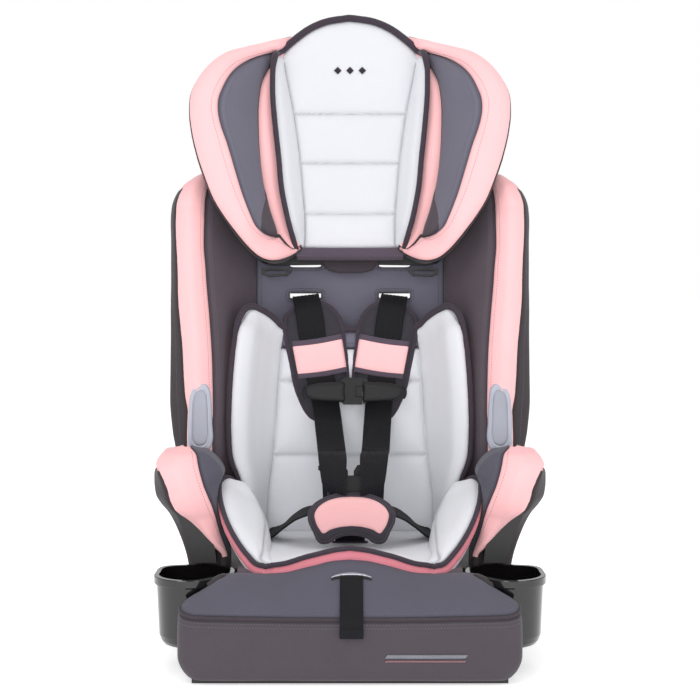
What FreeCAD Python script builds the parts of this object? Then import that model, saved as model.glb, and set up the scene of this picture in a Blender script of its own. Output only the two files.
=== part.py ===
"""Harness combination booster seat, modelled as separate pieces, in millimetres.

Frame: +Z up, the seat faces -Y, X=0 is the middle plane, and the origin is the
middle of the base's underside. "left" is the -X side.
The backrest and the headrest are drawn in an upright frame of their own
(x across, y rearward = depth behind the back panel's front, z up along the
panel) and then leaned back about the X axis by the placement.
"""
import FreeCAD, Part
import math
import os
import Sketcher
from FreeCAD import Vector, Placement, Rotation

os.makedirs("parts", exist_ok=True)
doc = FreeCAD.newDocument("booster_seat")

# -------------------------------------------------------- driving dimensions
DIMENSIONS = {
    # base cover and base shell
    "pad_half": 195.0, "pad_front": 205.0, "pad_top": 80.0, "pad_low": 3.0,
    "shell_half": 183.0, "shell_front": 193.0, "shell_wall": 4.0, "shell_rear": 188.0,
    "seat_top": 118.0, "seat_rear": 95.0, "rib_high": 22.0,
    "arm_front": 75.0, "arm_rear": 2.0,
    # backrest hinge
    "hinge_back": 165.0, "hinge_high": 70.0, "rod_rad": 5.0, "rod_half": 132.0,
    # backrest: lean in degrees, origin of its own frame, panel and slots
    "lean": 10.0, "back_y": 110.0, "back_z": 150.0, "back_top": 436.0,
    "centre_half": 121.0, "side_half": 227.0, "plate_thick": 5.0,
    "slot_low": 284.0, "slot_mid": 325.5, "slot_top": 367.0, "slot_tall": 8.0,
    "insert_low": 9.0, "insert_high": 31.0,
    # harness
    "web_wide": 38.0, "web_thick": 1.6, "strap_x": 58.5, "tail_wide": 27.0, "tail_x": 1.7,
    "buckle_half": 29.0, "buckle_tall": 62.0, "buckle_thick": 20.0,
    "clip_half": 60.0, "clip_x": 5.0,
    # headrest slider and lock
    "slider_half": 30.5, "rack_pitch": 30.0, "pin_rad": 3.0,
    # cup holder
    "cup_top": 113.0, "cup_low": 29.0, "cup_wall": 3.0, "cup_taper": 0.87,
    # screw radii
    "screw_head": 4.5, "screw_shank": 2.0,
}


class Driven:
    """A number that remembers the spreadsheet expression it comes from."""

    def __init__(self, value, text):
        self.value = float(value)
        self.text = text

    @staticmethod
    def of(other):
        return other if isinstance(other, Driven) else Driven(other, repr(float(other)))

    def _join(self, other, sign, value):
        return Driven(value, "(%s %s %s)" % (self.text, sign, Driven.of(other).text))

    def __add__(self, other):
        return self._join(other, "+", self.value + num(other))

    def __sub__(self, other):
        return self._join(other, "-", self.value - num(other))

    def __mul__(self, other):
        return self._join(other, "*", self.value * num(other))

    def __truediv__(self, other):
        return self._join(other, "/", self.value / num(other))

    def __neg__(self):
        return Driven(-self.value, "(0 - " + self.text + ")")

    def __radd__(self, other):
        return Driven.of(other) + self

    def __rsub__(self, other):
        return Driven.of(other) - self


class Dimensions:
    """Holds each driving dimension as an attribute named after its alias."""


def num(value):
    return value.value if isinstance(value, Driven) else float(value)


def bind(obj, prop, value):
    """Give a property its expression where its value is driven."""
    if isinstance(value, Driven):
        obj.setExpression(prop, value.text)


dim = Dimensions()
sheet = doc.addObject("Spreadsheet::Sheet", "dims")
for row, (alias, number) in enumerate(DIMENSIONS.items(), start=1):
    sheet.set("A%d" % row, alias)
    sheet.set("B%d" % row, repr(number))
    sheet.setAlias("B%d" % row, alias)
    setattr(dim, alias, Driven(number, "dims." + alias))
doc.recompute()

PIECES = {}


# ------------------------------------------------------------------ placing
def place(obj, point, lean=0):
    """Put an object's own origin at point, leaned back about X by lean degrees."""
    obj.Placement = Placement(Vector(*[num(c) for c in point]),
                              Rotation(Vector(-1, 0, 0), num(lean)))
    for axis, coord in zip("xyz", point):
        bind(obj, "Placement.Base." + axis, coord)
    bind(obj, "Placement.Rotation.Angle", lean)
    return obj


def leaned(obj):
    """Stand a piece of the backrest or headrest on the base, leaned back."""
    return place(obj, (0, dim.back_y, dim.back_z), dim.lean)


def back_point(x, depth, high):
    """A point of the leaned frame, in the seat's frame."""
    lean = math.radians(num(dim.lean))
    return (x, num(dim.back_y) + high * math.sin(lean) + depth * math.cos(lean),
            num(dim.back_z) + high * math.cos(lean) - depth * math.sin(lean))


def piece(label, obj):
    obj.Label = label
    PIECES[label] = obj


def pair(label, left):
    """A left piece and its mirror image as the right piece."""
    piece(label + "_left", left)
    piece(label + "_right", flip(left))


# ------------------------------------------------------------ sketched bodies
def origin_feature(body, role):
    return [o for o in body.Origin.OriginFeatures if o.Role == role][0]


def sketch_on(body, plane, offset):
    sketch = body.newObject("Sketcher::SketchObject", "sketch")
    sketch.AttachmentSupport = [(origin_feature(body, plane + "_Plane"), "")]
    sketch.MapMode = "FlatFace"
    sketch.AttachmentOffset = Placement(Vector(0, 0, num(offset)), Rotation())
    bind(sketch, "AttachmentOffset.Base.z", offset)
    return sketch


def draw(sketch, outline):
    """A closed polygon with every corner held by its two distances from the origin."""
    count = len(outline)
    corners = [Vector(num(a), num(b), 0) for a, b in outline]
    sketch.addGeometry([Part.LineSegment(corners[i], corners[(i + 1) % count])
                        for i in range(count)], False)
    rules = [Sketcher.Constraint("Coincident", i, 2, (i + 1) % count, 1)
             for i in range(count)]
    for i, corner in enumerate(corners):
        rules.append(Sketcher.Constraint("DistanceX", -1, 1, i, 1, corner.x))
        rules.append(Sketcher.Constraint("DistanceY", -1, 1, i, 1, corner.y))
    sketch.addConstraint(rules)
    for i, point in enumerate(outline):
        for k in (0, 1):
            bind(sketch, "Constraints[%d]" % (count + 2 * i + k), point[k])


def prism(plane, outline, lo, hi):
    """A straight-sided body: an outline padded from lo to hi across its plane."""
    body = doc.addObject("PartDesign::Body", "body")
    # The XZ plane's normal points along -Y, so its pad starts from hi.
    sketch = sketch_on(body, plane, -hi if plane == "XZ" else lo)
    draw(sketch, outline)
    pad = body.newObject("PartDesign::Pad", "pad")
    pad.Profile = sketch
    pad.Length = num(hi) - num(lo)
    bind(pad, "Length", hi - lo)
    return body


def both_sides(half):
    """Close a half outline with its mirror image in x."""
    return list(half) + [(-x, y) for x, y in reversed(half) if abs(num(x)) > 1e-6]


# ------------------------------------------------------- primitives, booleans
def box(x0, x1, y0, y1, z0, z1):
    block = doc.addObject("Part::Box", "box")
    for prop, lo, hi in (("Length", x0, x1), ("Width", y0, y1), ("Height", z0, z1)):
        setattr(block, prop, num(hi) - num(lo))
        bind(block, prop, hi - lo)
    return place(block, (x0, y0, z0))


def side_boxes(x0, x1, *spans):
    """The same box on the left and on the right; x0 and x1 are taken on the right."""
    return [box(-x1, -x0, *spans), box(x0, x1, *spans)]


def rod(start, end, rad):
    """A cylinder of radius rad from start to end."""
    first = Vector(*[num(c) for c in start])
    run = Vector(*[num(c) for c in end]) - first
    cylinder = doc.addObject("Part::Cylinder", "cylinder")
    cylinder.Radius = num(rad)
    bind(cylinder, "Radius", rad)
    cylinder.Height = run.Length
    cylinder.Placement = Placement(first, Rotation(Vector(0, 0, 1), run))
    for axis, coord in zip("xyz", start):
        bind(cylinder, "Placement.Base." + axis, coord)
    return cylinder


def fuse(*objs):
    fusion = doc.addObject("Part::MultiFuse", "fuse")
    fusion.Shapes = list(objs)
    fusion.Refine = True
    return fusion


def common(*objs):
    overlap = doc.addObject("Part::MultiCommon", "common")
    overlap.Shapes = list(objs)
    return overlap


def cut(base, *tools):
    result = doc.addObject("Part::Cut", "cut")
    result.Base = base
    result.Tool = tools[0] if len(tools) == 1 else fuse(*tools)
    return result


def flip(obj):
    """The mirror image across the middle plane."""
    mirror = doc.addObject("Part::Mirroring", "mirror")
    mirror.Source = obj
    mirror.Normal = Vector(1, 0, 0)
    mirror.Base = Vector(0, 0, 0)
    return mirror


def group(*objs):
    compound = doc.addObject("Part::Compound", "group")
    compound.Links = list(objs)
    return compound


def with_mirror(left):
    """One piece made of an object and its mirror image."""
    return group(left, flip(left))


# ------------------------------------------------------------- direct shapes
def solid_feature(shape):
    """A document object for a shape; a compound keeps a placement the shape already has."""
    feature = doc.addObject("Part::Feature", "shape")
    feature.Shape = shape if shape.Placement.isIdentity() else Part.makeCompound([shape])
    return feature


def ribbon(path, wide, thick, sides=None):
    """A webbing strap: a flat section lofted along its centre points (x, y, z).

    sides holds the strap's width direction at each point, X unless given.
    """
    path = [Vector(*point) for point in path]
    sides = sides or [(1, 0, 0)] * len(path)
    last = len(path) - 1
    wires = []
    for i, (here, side) in enumerate(zip(path, sides)):
        run = (path[min(last, i + 1)] - path[max(0, i - 1)]).normalize()
        across = Vector(*side)
        across = (across - run * across.dot(run)).normalize()
        up = run.cross(across).normalize()
        a, b = across * (wide / 2.0), up * (thick / 2.0)
        wires.append(Part.makePolygon([here - a - b, here + a - b, here + a + b,
                                       here - a + b, here - a - b]))
    return solid_feature(Part.makeLoft(wires, True, True))


def flat_strap(path, x0, x1, thick):
    """A webbing strap of constant x, padded from its centre line (y, z)."""
    upper, lower = [], []
    last = len(path) - 1
    for i, (y, z) in enumerate(path):
        y0, z0 = path[max(0, i - 1)]
        y1, z1 = path[min(last, i + 1)]
        run = math.hypot(y1 - y0, z1 - z0)
        dy, dz = -(z1 - z0) / run * thick / 2.0, (y1 - y0) / run * thick / 2.0
        upper.append((y + dy, z + dz))
        lower.append((y - dy, z - dz))
    return prism("YZ", upper + lower[::-1], x0, x1)


def coil(start, length, rad, wire, turns, axis=(0, 0, 1)):
    """A helical spring from start along axis; wire is the wire's radius."""
    pitch = length / turns
    helix = Part.makeHelix(pitch, length, rad)
    section = Part.Wire([Part.Edge(Part.Circle(
        Vector(rad, 0, 0), Vector(0, 1, pitch / (2 * math.pi * rad)), wire))])
    spring = Part.Wire(helix.Edges).makePipeShell([section], True, True)
    spring.Placement = Placement(Vector(*start), Rotation(Vector(0, 0, 1), Vector(*axis)))
    return solid_feature(spring)


def screw(head, away, long):
    """A pan-head screw: its head starts at head, its shank runs along away."""
    head, away = Vector(*head), Vector(*away)
    neck = head + away * 2.6
    return fuse(rod(tuple(head), tuple(neck), dim.screw_head),
                rod(tuple(neck), tuple(neck + away * long), dim.screw_shank))


# ---------------------------------------------------------------------- base
# Moulded horn under each armrest cover, and its hollow: (x, z), left side.
HORN = [
    (-162.5, 100), (-162.5, 122), (-168.5, 158), (-173.5, 190), (-184, 224), (-193.5, 241),
    (-201, 246.5), (-211, 245.5), (-220, 239), (-225.5, 228), (-227, 217), (-225, 203),
    (-213, 184), (-201, 153), (-190, 118), (-190, 100)]
HORN_HOLLOW = [
    (-167.5, 90), (-167.5, 122), (-173.5, 158), (-178.5, 190), (-188, 222), (-196.5, 236.5),
    (-202, 240.5), (-210, 239.5), (-216.5, 235), (-220.3, 226.5), (-222, 217), (-220, 205),
    (-208, 186), (-196, 155), (-186, 118), (-186, 90)]
# Low wall behind the horn: (y, z).
HORN_FOOT = [(-45, 80), (-45, 130), (-7, 130), (60, 128), (140, 112), (150, 90), (150, 80)]
# Screws of the crotch strap's anchor: (x, y).
ANCHOR_SCREWS = [(x, y) for x in (-24, 24) for y in (-28, -13)]


def anchor_screw_holes(z0, z1, rad):
    return [rod((x, y, z0), (x, y, z1), rad) for x, y in ANCHOR_SCREWS]


def hinge_line(x0, x1, rad):
    """A cylinder on the axis of the backrest's hinge in the base."""
    return rod((x0, dim.hinge_back, dim.hinge_high), (x1, dim.hinge_back, dim.hinge_high), rad)


def hinge_lug(x0, x1):
    return fuse(box(x0, x1, dim.hinge_back - 16, dim.hinge_back + 16, 40, dim.hinge_high),
                hinge_line(x0, x1, 16))


def base_hollow_shell():
    """The base's walls and top, open underneath."""
    half, front, rear, wall = dim.shell_half, dim.shell_front, dim.shell_rear, dim.shell_wall
    # side views (y, z)
    side_out = [
        (-front, 0), (-front, dim.pad_top - 10), (-118, dim.seat_top - 12),
        (125, dim.seat_top - 12), (125, 45), (rear, 45), (rear, 0)]
    side_in = [
        (wall - front, -1), (wall - front, dim.pad_top - 14.5), (-117, dim.seat_top - 16),
        (121, dim.seat_top - 16), (121, 41), (rear - wall, 41), (rear - wall, -1)]
    # half plans (x, y)
    plan_out = both_sides([
        (0, -front), (-half, -front), (-half, -173), (-124, -116), (-124, -46),
        (-190, -46), (-190, 150), (-160, rear), (0, rear)])
    plan_in = both_sides([
        (0, wall - front), (wall - half, wall - front), (wall - half, -175), (-120, -117.5),
        (-120, -42), (-186, -42), (-186, 148), (-158, rear - wall), (0, rear - wall)])
    # The cup holders hang over a low apron, so the shell stays wide below them.
    apron = prism("XY", both_sides([(0, -170), (-182, -170), (-182, -40), (0, -40)]), 0, 24)
    apron_in = prism("XY", both_sides([(0, -171), (-178, -171), (-178, -39), (0, -39)]), -1, 20)
    tall = common(prism("YZ", side_out, -200, 200), prism("XY", plan_out, 0, 130))
    tall_in = common(prism("YZ", side_in, -200, 200), prism("XY", plan_in, -1, 130))
    return cut(fuse(apron, tall), fuse(apron_in, tall_in))


def base_shell():
    top = dim.rib_high
    ribs = fuse(box(-120, 120, -1.5, 1.5, 0, top), box(-1.5, 1.5, -189, 184, 0, top),
                *side_boxes(81, 84, -188, 184, 0, top),
                box(-180, 180, -101, -98, 0, 19), box(-186, 186, 97, 100, 0, top))
    lugs = fuse(*[hinge_lug(x0, x1)
                  for x0, x1 in ((-129, -118), (-62, -52), (52, 62), (118, 129))])
    horn = cut(prism("XZ", HORN, -66, -7), prism("XZ", HORN_HOLLOW, -62, -6))
    arm = fuse(cut(horn, box(-240, -120, -80, -46, 90, 116.5)),
               prism("YZ", HORN_FOOT, -190, -182))
    body = fuse(base_hollow_shell(), ribs, lugs, arm, flip(arm))
    cup_slot = box(-196, -138, -53, -41, 52, 72)
    rear_strap_hole = box(-26, 26, 180, 192, 28, 40)
    crotch_slot = box(-24, 24, -25, -17, 95, 112)
    adjuster_hole = box(-17, 20.4, -166, -140, 60, 120)
    hip_slots = fuse(*side_boxes(104, 116, 20, 62, 95, 112))
    piece("base_shell", cut(body, hinge_line(-140, 140, dim.rod_rad + 0.05),
                            cup_slot, flip(cup_slot), rear_strap_hole, crotch_slot,
                            adjuster_hole, hip_slots, *anchor_screw_holes(98, 108, 2.1)))


def base_cover():
    """Padded cover over the front, the front sides and the seat deck, crowned at the front."""
    half, front, top, low = dim.pad_half, dim.pad_front, dim.pad_top, dim.pad_low
    side = prism("YZ", [
        (-front, low), (-front, top - 8), (3 - front, top), (-126, 143), (-111, 143),
        (-111, dim.seat_top), (dim.seat_rear, dim.seat_top), (dim.seat_rear, low)], -200, 200)
    crown = prism("XZ", both_sides([
        (0, 0), (-half, 0), (-half, top), (-140, 116), (-80, 129), (0, 143)]), -210, 100)
    plan = prism("XY", both_sides([
        (0, -front), (12 - half, -front), (-half, 12 - front), (-half, -173), (-135, -119.5),
        (-133, -46), (-150, -44), (-150, dim.seat_rear), (0, dim.seat_rear)]), 0, 160)
    # Room for the base shell, 0.8 clear of its front and sides.
    room_front, room_half = -0.8 - dim.shell_front, -0.8 - dim.shell_half
    room = common(
        prism("YZ", [
            (room_front, -2), (room_front, top - 9.4), (-118.3, dim.seat_top - 11.3),
            (100, dim.seat_top - 11.3), (100, -2)], -200, 200),
        prism("XY", both_sides([
            (0, room_front), (room_half, room_front), (room_half, -172), (-125, -115),
            (-125, -47), (-200, -47), (-200, 120), (0, 120)]), -3, 170))
    apron_room = prism("XY", both_sides([(0, -171), (-183, -171), (-183, -39), (0, -39)]),
                       -3, 24.6)
    arm_room = box(-165, -142, -80, 100, 0, 160)
    # Slots for the crotch strap, the adjuster and the lap straps.
    slots = fuse(box(-21, 21, -24, -18, 90, 160), box(-14.5, 18, -161, -144.5, 60, 160),
                 *side_boxes(107, 113, 22, 60, 90, 160))
    piece("base_cover", cut(common(side, crown, plan), room, apron_room,
                            arm_room, flip(arm_room), slots))


# Padded sleeve over each horn, and its hollow: (x, z), left side.
SLEEVE = [
    (-152, 119), (-153, 124), (-160, 160), (-165, 192), (-176, 228), (-188, 251), (-200, 257),
    (-212, 255.5), (-226, 245), (-234, 230), (-236.5, 217), (-234, 200), (-222, 181),
    (-210, 150), (-199, 119)]
SLEEVE_HOLLOW = [
    (-161.7, 110), (-161.7, 122), (-167.7, 158), (-172.7, 190), (-183.2, 224.4),
    (-192.9, 241.7), (-200.8, 247.4), (-211.3, 246.4), (-220.7, 239.6), (-226.4, 228.3),
    (-227.9, 217), (-225.8, 202.7), (-213.8, 183.6), (-201.8, 152.7), (-190.8, 118),
    (-190.8, 110)]


def armrest_covers():
    sleeve = cut(prism("XZ", SLEEVE, -dim.arm_front, -dim.arm_rear),
                 prism("XZ", SLEEVE_HOLLOW, -67, 5))
    horn_foot_room = box(-191.5, -181.5, -50, 5, 100, 131)
    pair("armrest_cover", cut(sleeve, horn_foot_room))


# Seat insert: half front view (x, z), and side view of its bolsters (y, z).
SEAT_FRONT = [
    (0, dim.seat_top + 1), (-149, dim.seat_top + 1), (-150.5, 135), (-157.5, 180), (-159, 206),
    (-155, 215), (-146, 217), (-136, 205), (-118, 165), (-104, 138), (-80, 139), (0, 151)]
SEAT_SIDE = [
    (-129, 119), (-129, 148), (-124, 152), (-100, 151), (-88, 158), (-60, 182), (-38, 214),
    (-20, 219), (-8, 214), (2, 190), (8, 151), (12, 145), (95, 140), (95, 119)]


def seat_insert():
    """Seat pad with two raised side bolsters."""
    dip = prism("YZ", [(-96, 160), (-96, 152), (-70, 144), (-30, 140), (96, 139), (96, 160)],
                -97, 97)
    # Clears the crown of the base cover.
    crown = prism("XZ", both_sides([
        (0, 100), (-160, 100), (-160, 113.5), (-140, 116.8), (-80, 129.8), (0, 143.8)]),
        -150, -110.4)
    slots = fuse(box(-21, 21, -25, -17, 100, 170), *side_boxes(104, 115, 18, 63, 100, 200))
    pad = common(prism("XZ", both_sides(SEAT_FRONT), -140, 100),
                 prism("YZ", SEAT_SIDE, -165, 165))
    piece("seat_insert", cut(pad, dip, crown, slots))


# --------------------------------------------------------------------- hinge
def hinge_rod():
    """A turned rod with chamfered ends and a clip groove near each end."""
    half, rad = dim.rod_half, dim.rod_rad
    body = doc.addObject("PartDesign::Body", "hinge_rod_body")
    sketch = sketch_on(body, "XZ", 0)
    draw(sketch, [
        (-half, 0), (-half, rad - 0.6), (0.6 - half, rad), (1.9 - half, rad),
        (1.9 - half, rad - 1), (3.1 - half, rad - 1), (3.1 - half, rad),
        (half - 3.1, rad), (half - 3.1, rad - 1), (half - 1.9, rad - 1), (half - 1.9, rad),
        (half - 0.6, rad), (half, rad - 0.6), (half, 0)])
    turn = body.newObject("PartDesign::Revolution", "hinge_rod_turn")
    turn.Profile = sketch
    turn.ReferenceAxis = (origin_feature(body, "X_Axis"), [""])
    turn.Angle = 360
    piece("hinge_rod", place(body, (0, dim.hinge_back, dim.hinge_high)))


def hinge_clip(x):
    """An open ring, 1 thick, with its gap upward."""
    return cut(hinge_line(x, x + 1, 8), hinge_line(x - 1, x + 2, dim.rod_rad - 0.9),
               box(x - 1, x + 2, dim.hinge_back - 3, dim.hinge_back + 3,
                   dim.hinge_high, dim.hinge_high + 12))


def hinge_clips():
    piece("hinge_clips", group(hinge_clip(-130), hinge_clip(129)))


# --------------------------------------------------------------- cup holders
# Plan of the left cup's rim (x, y), and the middle that it is scaled about.
CUP_PLAN = [
    (-233, -112), (-228, -136), (-208, -156), (-184, -160), (-160, -140), (-141, -118),
    (-138, -96), (-146, -70), (-168, -58), (-206, -57), (-226, -66), (-232, -84)]
CUP_MIDDLE = (-186.0, -107.0)


def cup_wire(scale, z, grow):
    """The cup's plan at height z, scaled, then pushed outward by grow."""
    middle_x, middle_y = CUP_MIDDLE
    points = []
    for x, y in CUP_PLAN:
        out_x, out_y = (x - middle_x) * scale, (y - middle_y) * scale
        reach = math.hypot(out_x, out_y)
        points.append(Vector(middle_x + out_x * (reach + grow) / reach,
                             middle_y + out_y * (reach + grow) / reach, z))
    curve = Part.BSplineCurve()
    curve.interpolate(points, PeriodicFlag=True)
    return Part.Wire([curve.toShape()])


def cup_loft(stations):
    """A ruled loft through stations of (scale, z, grow)."""
    return Part.makeLoft([cup_wire(*station) for station in stations], True, True)


def cup_holders():
    """A tapered cup with a thick rim, and a tongue that slides into the base's side."""
    top, low, wall = num(dim.cup_top), num(dim.cup_low), num(dim.cup_wall)
    taper = num(dim.cup_taper)
    outer = cup_loft([(taper, low, -9), (taper, low + 2, -5), (taper, low + 6, -2),
                      (taper + 0.01, low + 13, 0), (0.975, top - 9.5, -2)])
    inner = cup_loft([(taper, low + wall, -10), (taper, low + wall + 3, -6),
                      (taper + 0.01, low + 14, -wall), (0.975, top - 9.5, -2 - wall),
                      (0.98, top + 1, -2 - wall)])
    rim = cup_loft([(0.99, top - 10, 0), (1.0, top - 8.5, 0), (1.0, top - 1, 0),
                    (0.99, top, 0)])
    cup = outer.fuse(rim).cut(inner)
    tongue = Part.makeBox(34, 11.5, 14, Vector(-184, -56.5, 55))
    neck = Part.makeBox(34, 14, 14, Vector(-184, -70, 55)).cut(inner)
    pair("cup_holder", solid_feature(cup.fuse([tongue, neck]).removeSplitter()))


# ------------------------------------------------- harness adjuster and straps
ADJUSTER_AXIS = (-153, 75)  # (y, z) of the lever's pin
# Side views (y, z).
LEVER = [(-158, 72), (-156, 67), (-150, 67), (-146.5, 73), (-147, 80), (-150, 105),
         (-152.5, 105), (-156, 80)]
BEZEL = [(-164, 114.6), (-162.6, 112.9), (-141.6, 131.0), (-143, 132.7)]
# Loose tail of the strap, over the front edge of the pad.
STRAP_TAIL = [
    (-153, 122.5), (-158.5, 122.8), (-165.5, 117.6), (-175, 106.2), (-190, 93.0),
    (-202.5, 83.0), (-208.0, 75.0), (-208.4, 52.0)]


def harness_adjuster():
    """Housing, lever, pin, spring and bezel in the front of the seat deck."""
    middle = dim.tail_x

    def bore(rad):
        return rod((-20, *ADJUSTER_AXIS), (24, *ADJUSTER_AXIS), rad)

    housing = cut(box(middle - 15.7, middle + 15.7, -165.4, -140.6, 56, 82),
                  box(middle - 12.7, middle + 12.7, -162.5, -143.5, 52, 90))
    piece("adjuster_housing", cut(housing, bore(2.05)))
    piece("adjuster_lever", cut(prism("YZ", LEVER, middle - 11.7, middle + 11.7), bore(2.08)))
    piece("adjuster_pin", rod((middle - 15.2, *ADJUSTER_AXIS),
                              (middle + 15.2, *ADJUSTER_AXIS), 2.0))
    piece("adjuster_spring", coil((num(middle), -150.5, 57.5), 8.5, rad=2.2, wire=0.45, turns=5))
    piece("adjuster_bezel", cut(prism("YZ", BEZEL, middle - 22, middle + 22),
                                box(middle - 16.3, middle + 16.3, -160.5, -147, 105, 140)))


def adjuster_straps():
    """The loose tail, and the webbing from the adjuster back to the splitter plate."""
    tail = [(num(dim.tail_x), y, z) for y, z in STRAP_TAIL]
    piece("adjuster_strap", ribbon(tail, num(dim.tail_wide), 2.4))
    under_deck = [(-138.5, 52), (-100, 40), (100, 34), (196, 34), (206, 44), (206, 120)]
    up_back = [back_point(0, depth, high)[1:]
               for depth, high in ((29, 40), (28, 150), (27, 173))]
    piece("splitter_strap", flat_strap(under_deck + up_back, dim.tail_x - 12.5,
                                       dim.tail_x + 12.5, num(dim.web_thick)))


def crotch_strap():
    path = [(0, -21, 95), (0, -21, 138), (0, -27, 147.5), (0, -40, 153.5)]
    piece("crotch_strap", ribbon(path, num(dim.web_wide), 2.0))


def harness_anchors():
    """Slotted plates under the deck for the crotch strap and the two lap straps."""
    crotch = cut(box(-30, 30, -33, -9, 99.2, 101.8), box(-20, 20, -22.6, -19.4, 90, 103),
                 *anchor_screw_holes(96, 104, 2.2))
    hips = [cut(plate, slot) for plate, slot in zip(side_boxes(96, 124, 14, 68, 99.5, 101.8),
                                                    side_boxes(108, 112, 20, 62, 98, 103))]
    piece("harness_anchors", group(crotch, *hips))


# Left lap strap: centre point (x, y, z), width direction.
LAP_STRAP = [
    ((-110, 41, 96), (0, 1, 0)), ((-110, 41, 136), (0, 1, 0)),
    ((-109, 38, 152), (0, 1, 0.1)), ((-98, 20, 168), (-0.1, 0.9, 0.5)),
    ((-66, -18, 184), (-0.2, 0.7, 0.7)), ((-46, -38, 196), (-0.25, 0.35, 0.9))]


def lap_straps():
    path, sides = zip(*LAP_STRAP)
    pair("lap_strap", ribbon(path, num(dim.web_wide) - 1, num(dim.web_thick), sides))


# -------------------------------------------------------------------- buckle
# Drawn upright: x across, y depth, z up from the buckle's foot.
BUCKLE_AT = (1, -46.5, 158)
BUCKLE_LEAN = 6


def on_buckle(obj):
    return place(obj, BUCKLE_AT, BUCKLE_LEAN)


def buckle():
    half, tall, thick = dim.buckle_half, dim.buckle_tall, dim.buckle_thick
    outline = both_sides([(0, 0), (8 - half, 0), (-half, 10), (-half, tall - 16),
                          (6 - half, tall), (0, tall)])
    hollow = box(-half + 3, half - 3, 3 - thick / 2, thick / 2 - 3, 6, tall + 2)
    button_hole = box(-13.2, 13.2, -thick, 0, 14, 34)
    piece("buckle_housing", on_buckle(cut(prism("XZ", outline, -thick / 2, thick / 2),
                                          hollow, button_hole)))
    button = fuse(box(-12.6, 12.6, -thick / 2 - 1.5, 4 - thick / 2, 14.6, 33.4),
                  box(-9, 9, 4 - thick / 2, 6.5 - thick / 2, 17, 31))
    piece("buckle_button", on_buckle(button))
    piece("buckle_spring", on_buckle(coil((0, 0, 7.6), 13.4 - 7.6, rad=3, wire=0.7, turns=3)))
    latch = cut(box(-22, 22, -1.2, 1.2, 36.5, 44), box(-6, 6, -3, 3, 36, 39))
    piece("buckle_latch", on_buckle(latch))


def buckle_tongue(side):
    """A flat tongue with a latch hole and a strap slot; side is -1 for left, 1 for right."""
    tall = dim.buckle_tall
    outline = [(24, tall - 15), (3.5, tall - 15), (3.5, tall + 6), (8, tall + 13),
               (30, tall + 17), (40, tall + 12), (40, tall + 7), (24, tall + 1)]
    plate = prism("XZ", [(side * x, z) for x, z in outline], -1.2, 1.2)
    latch_hole = box(*sorted((side * 9, side * 18)), -3, 3, tall - 11, tall - 6)
    strap_slot = box(*sorted((side * 12, side * 37)), -3, 3, tall + 9, tall + 11)
    return on_buckle(cut(plate, latch_hole, strap_slot))


def buckle_tongues():
    piece("tongue_left", buckle_tongue(-1))
    piece("tongue_right", buckle_tongue(1))


def crotch_pad():
    """A soft flap in front of the buckle; half outline (x, z)."""
    outline = both_sides([(0, -14), (-20, -11), (-32, -16), (-44, -5), (-51, 8), (-47, 18),
                          (-37, 28), (-18, 36), (0, 38)])
    piece("crotch_pad", place(prism("XZ", outline, -13, 0), (2, -60.5, 160.5), 8))


# ------------------------------------------------------------------ backrest
# From here to the headrest release, coordinates are in the leaned frame.
LEG_PIVOT = (68.05, -69.23)  # (depth, z) of the hinge
# Half plan of the shell's wall: (x, depth).
BACK_WALL = [
    (0, 0), (-131, 0), (-191, -80), (-202, -86), (-210.5, -80.5), (-215.6, -70), (-215.6, 25),
    (-211, 25), (-211, -69), (-206.5, -76.5), (-201.5, -80), (-194.5, -77),
    (-133.4, dim.plate_thick), (0, dim.plate_thick)]
# Side view: (depth, z), with the front edges of the wings from the bottom up.
BACK_SIDE = [
    (30, 20), (30, -20), (-1, -20), (-1, 20), (-80, 20), (-86, 60), (-96, 92), (-96, 330),
    (-91, 368), (-72, 404), (-46, 429), (8, dim.back_top), (30, 380)]
# Half front view: (x, z).
BACK_FRONT = [
    (0, -20), (-100, -20), (-208, 18), (-212, 80), (-216, 120), (-216, 396), (-206, 416),
    (-190, 427), (-121, 424), (-100, dim.back_top), (0, dim.back_top)]


def harness_slots(depth0, depth1):
    """Three pairs of shoulder strap slots, each 41 wide."""
    return [box(x - 20.5, x + 20.5, depth0, depth1, z - dim.slot_tall / 2, z + dim.slot_tall / 2)
            for z in (dim.slot_low, dim.slot_mid, dim.slot_top)
            for x in (-dim.strap_x, dim.strap_x)]


def leg(x0, x1):
    """A leg down to the hinge rod, behind and below the panel."""
    plate = prism("YZ", [(4, 60), (25, 60), (81, -60), (70, -83), (55, -78)], x0, x1)
    return fuse(plate, rod((x0, *LEG_PIVOT), (x1, *LEG_PIVOT), 14))


def backrest_shell():
    wall = common(prism("XY", both_sides(BACK_WALL), -20, dim.back_top),
                  prism("YZ", BACK_SIDE, -240, 240),
                  prism("XZ", both_sides(BACK_FRONT), -120, 60))
    grid = fuse(*side_boxes(94, 98, 4, 24, 0, 425), box(-205, -94, 4, 8, 110, 113),
                box(-98, 98, 4, 24, 20, 24), box(-98, 98, 4, 22, 90, 94),
                *side_boxes(40, 98, 4, 16, 235, 238), box(-98, 98, 4, 9, 420, 424))
    # Lipped rails that the headrest slider runs between.
    rails = fuse(*side_boxes(31.5, 37, 4, 24, 277, 428),
                 *side_boxes(28, 31.6, 20.5, 24, 277, 428))
    solid = fuse(wall, leg(-117, -63), leg(63, 117), grid, rails)
    bore = rod((-120, *LEG_PIVOT), (120, *LEG_PIVOT), dim.rod_rad + 0.08)
    # Openings low down in the outer side walls.
    side_openings = side_boxes(209, 250, -45, 12, 36, 88)
    lock_holes = []
    for k in range(4):
        z = 285 + dim.rack_pitch * k
        for x in (-40, 26):
            lock_holes.append(rod((x, 14, z), (x + 14, 14, z), 3.1))
    piece("backrest_shell", leaned(cut(solid, *harness_slots(-5, 12), bore, *side_openings,
                                       *lock_holes)))


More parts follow.
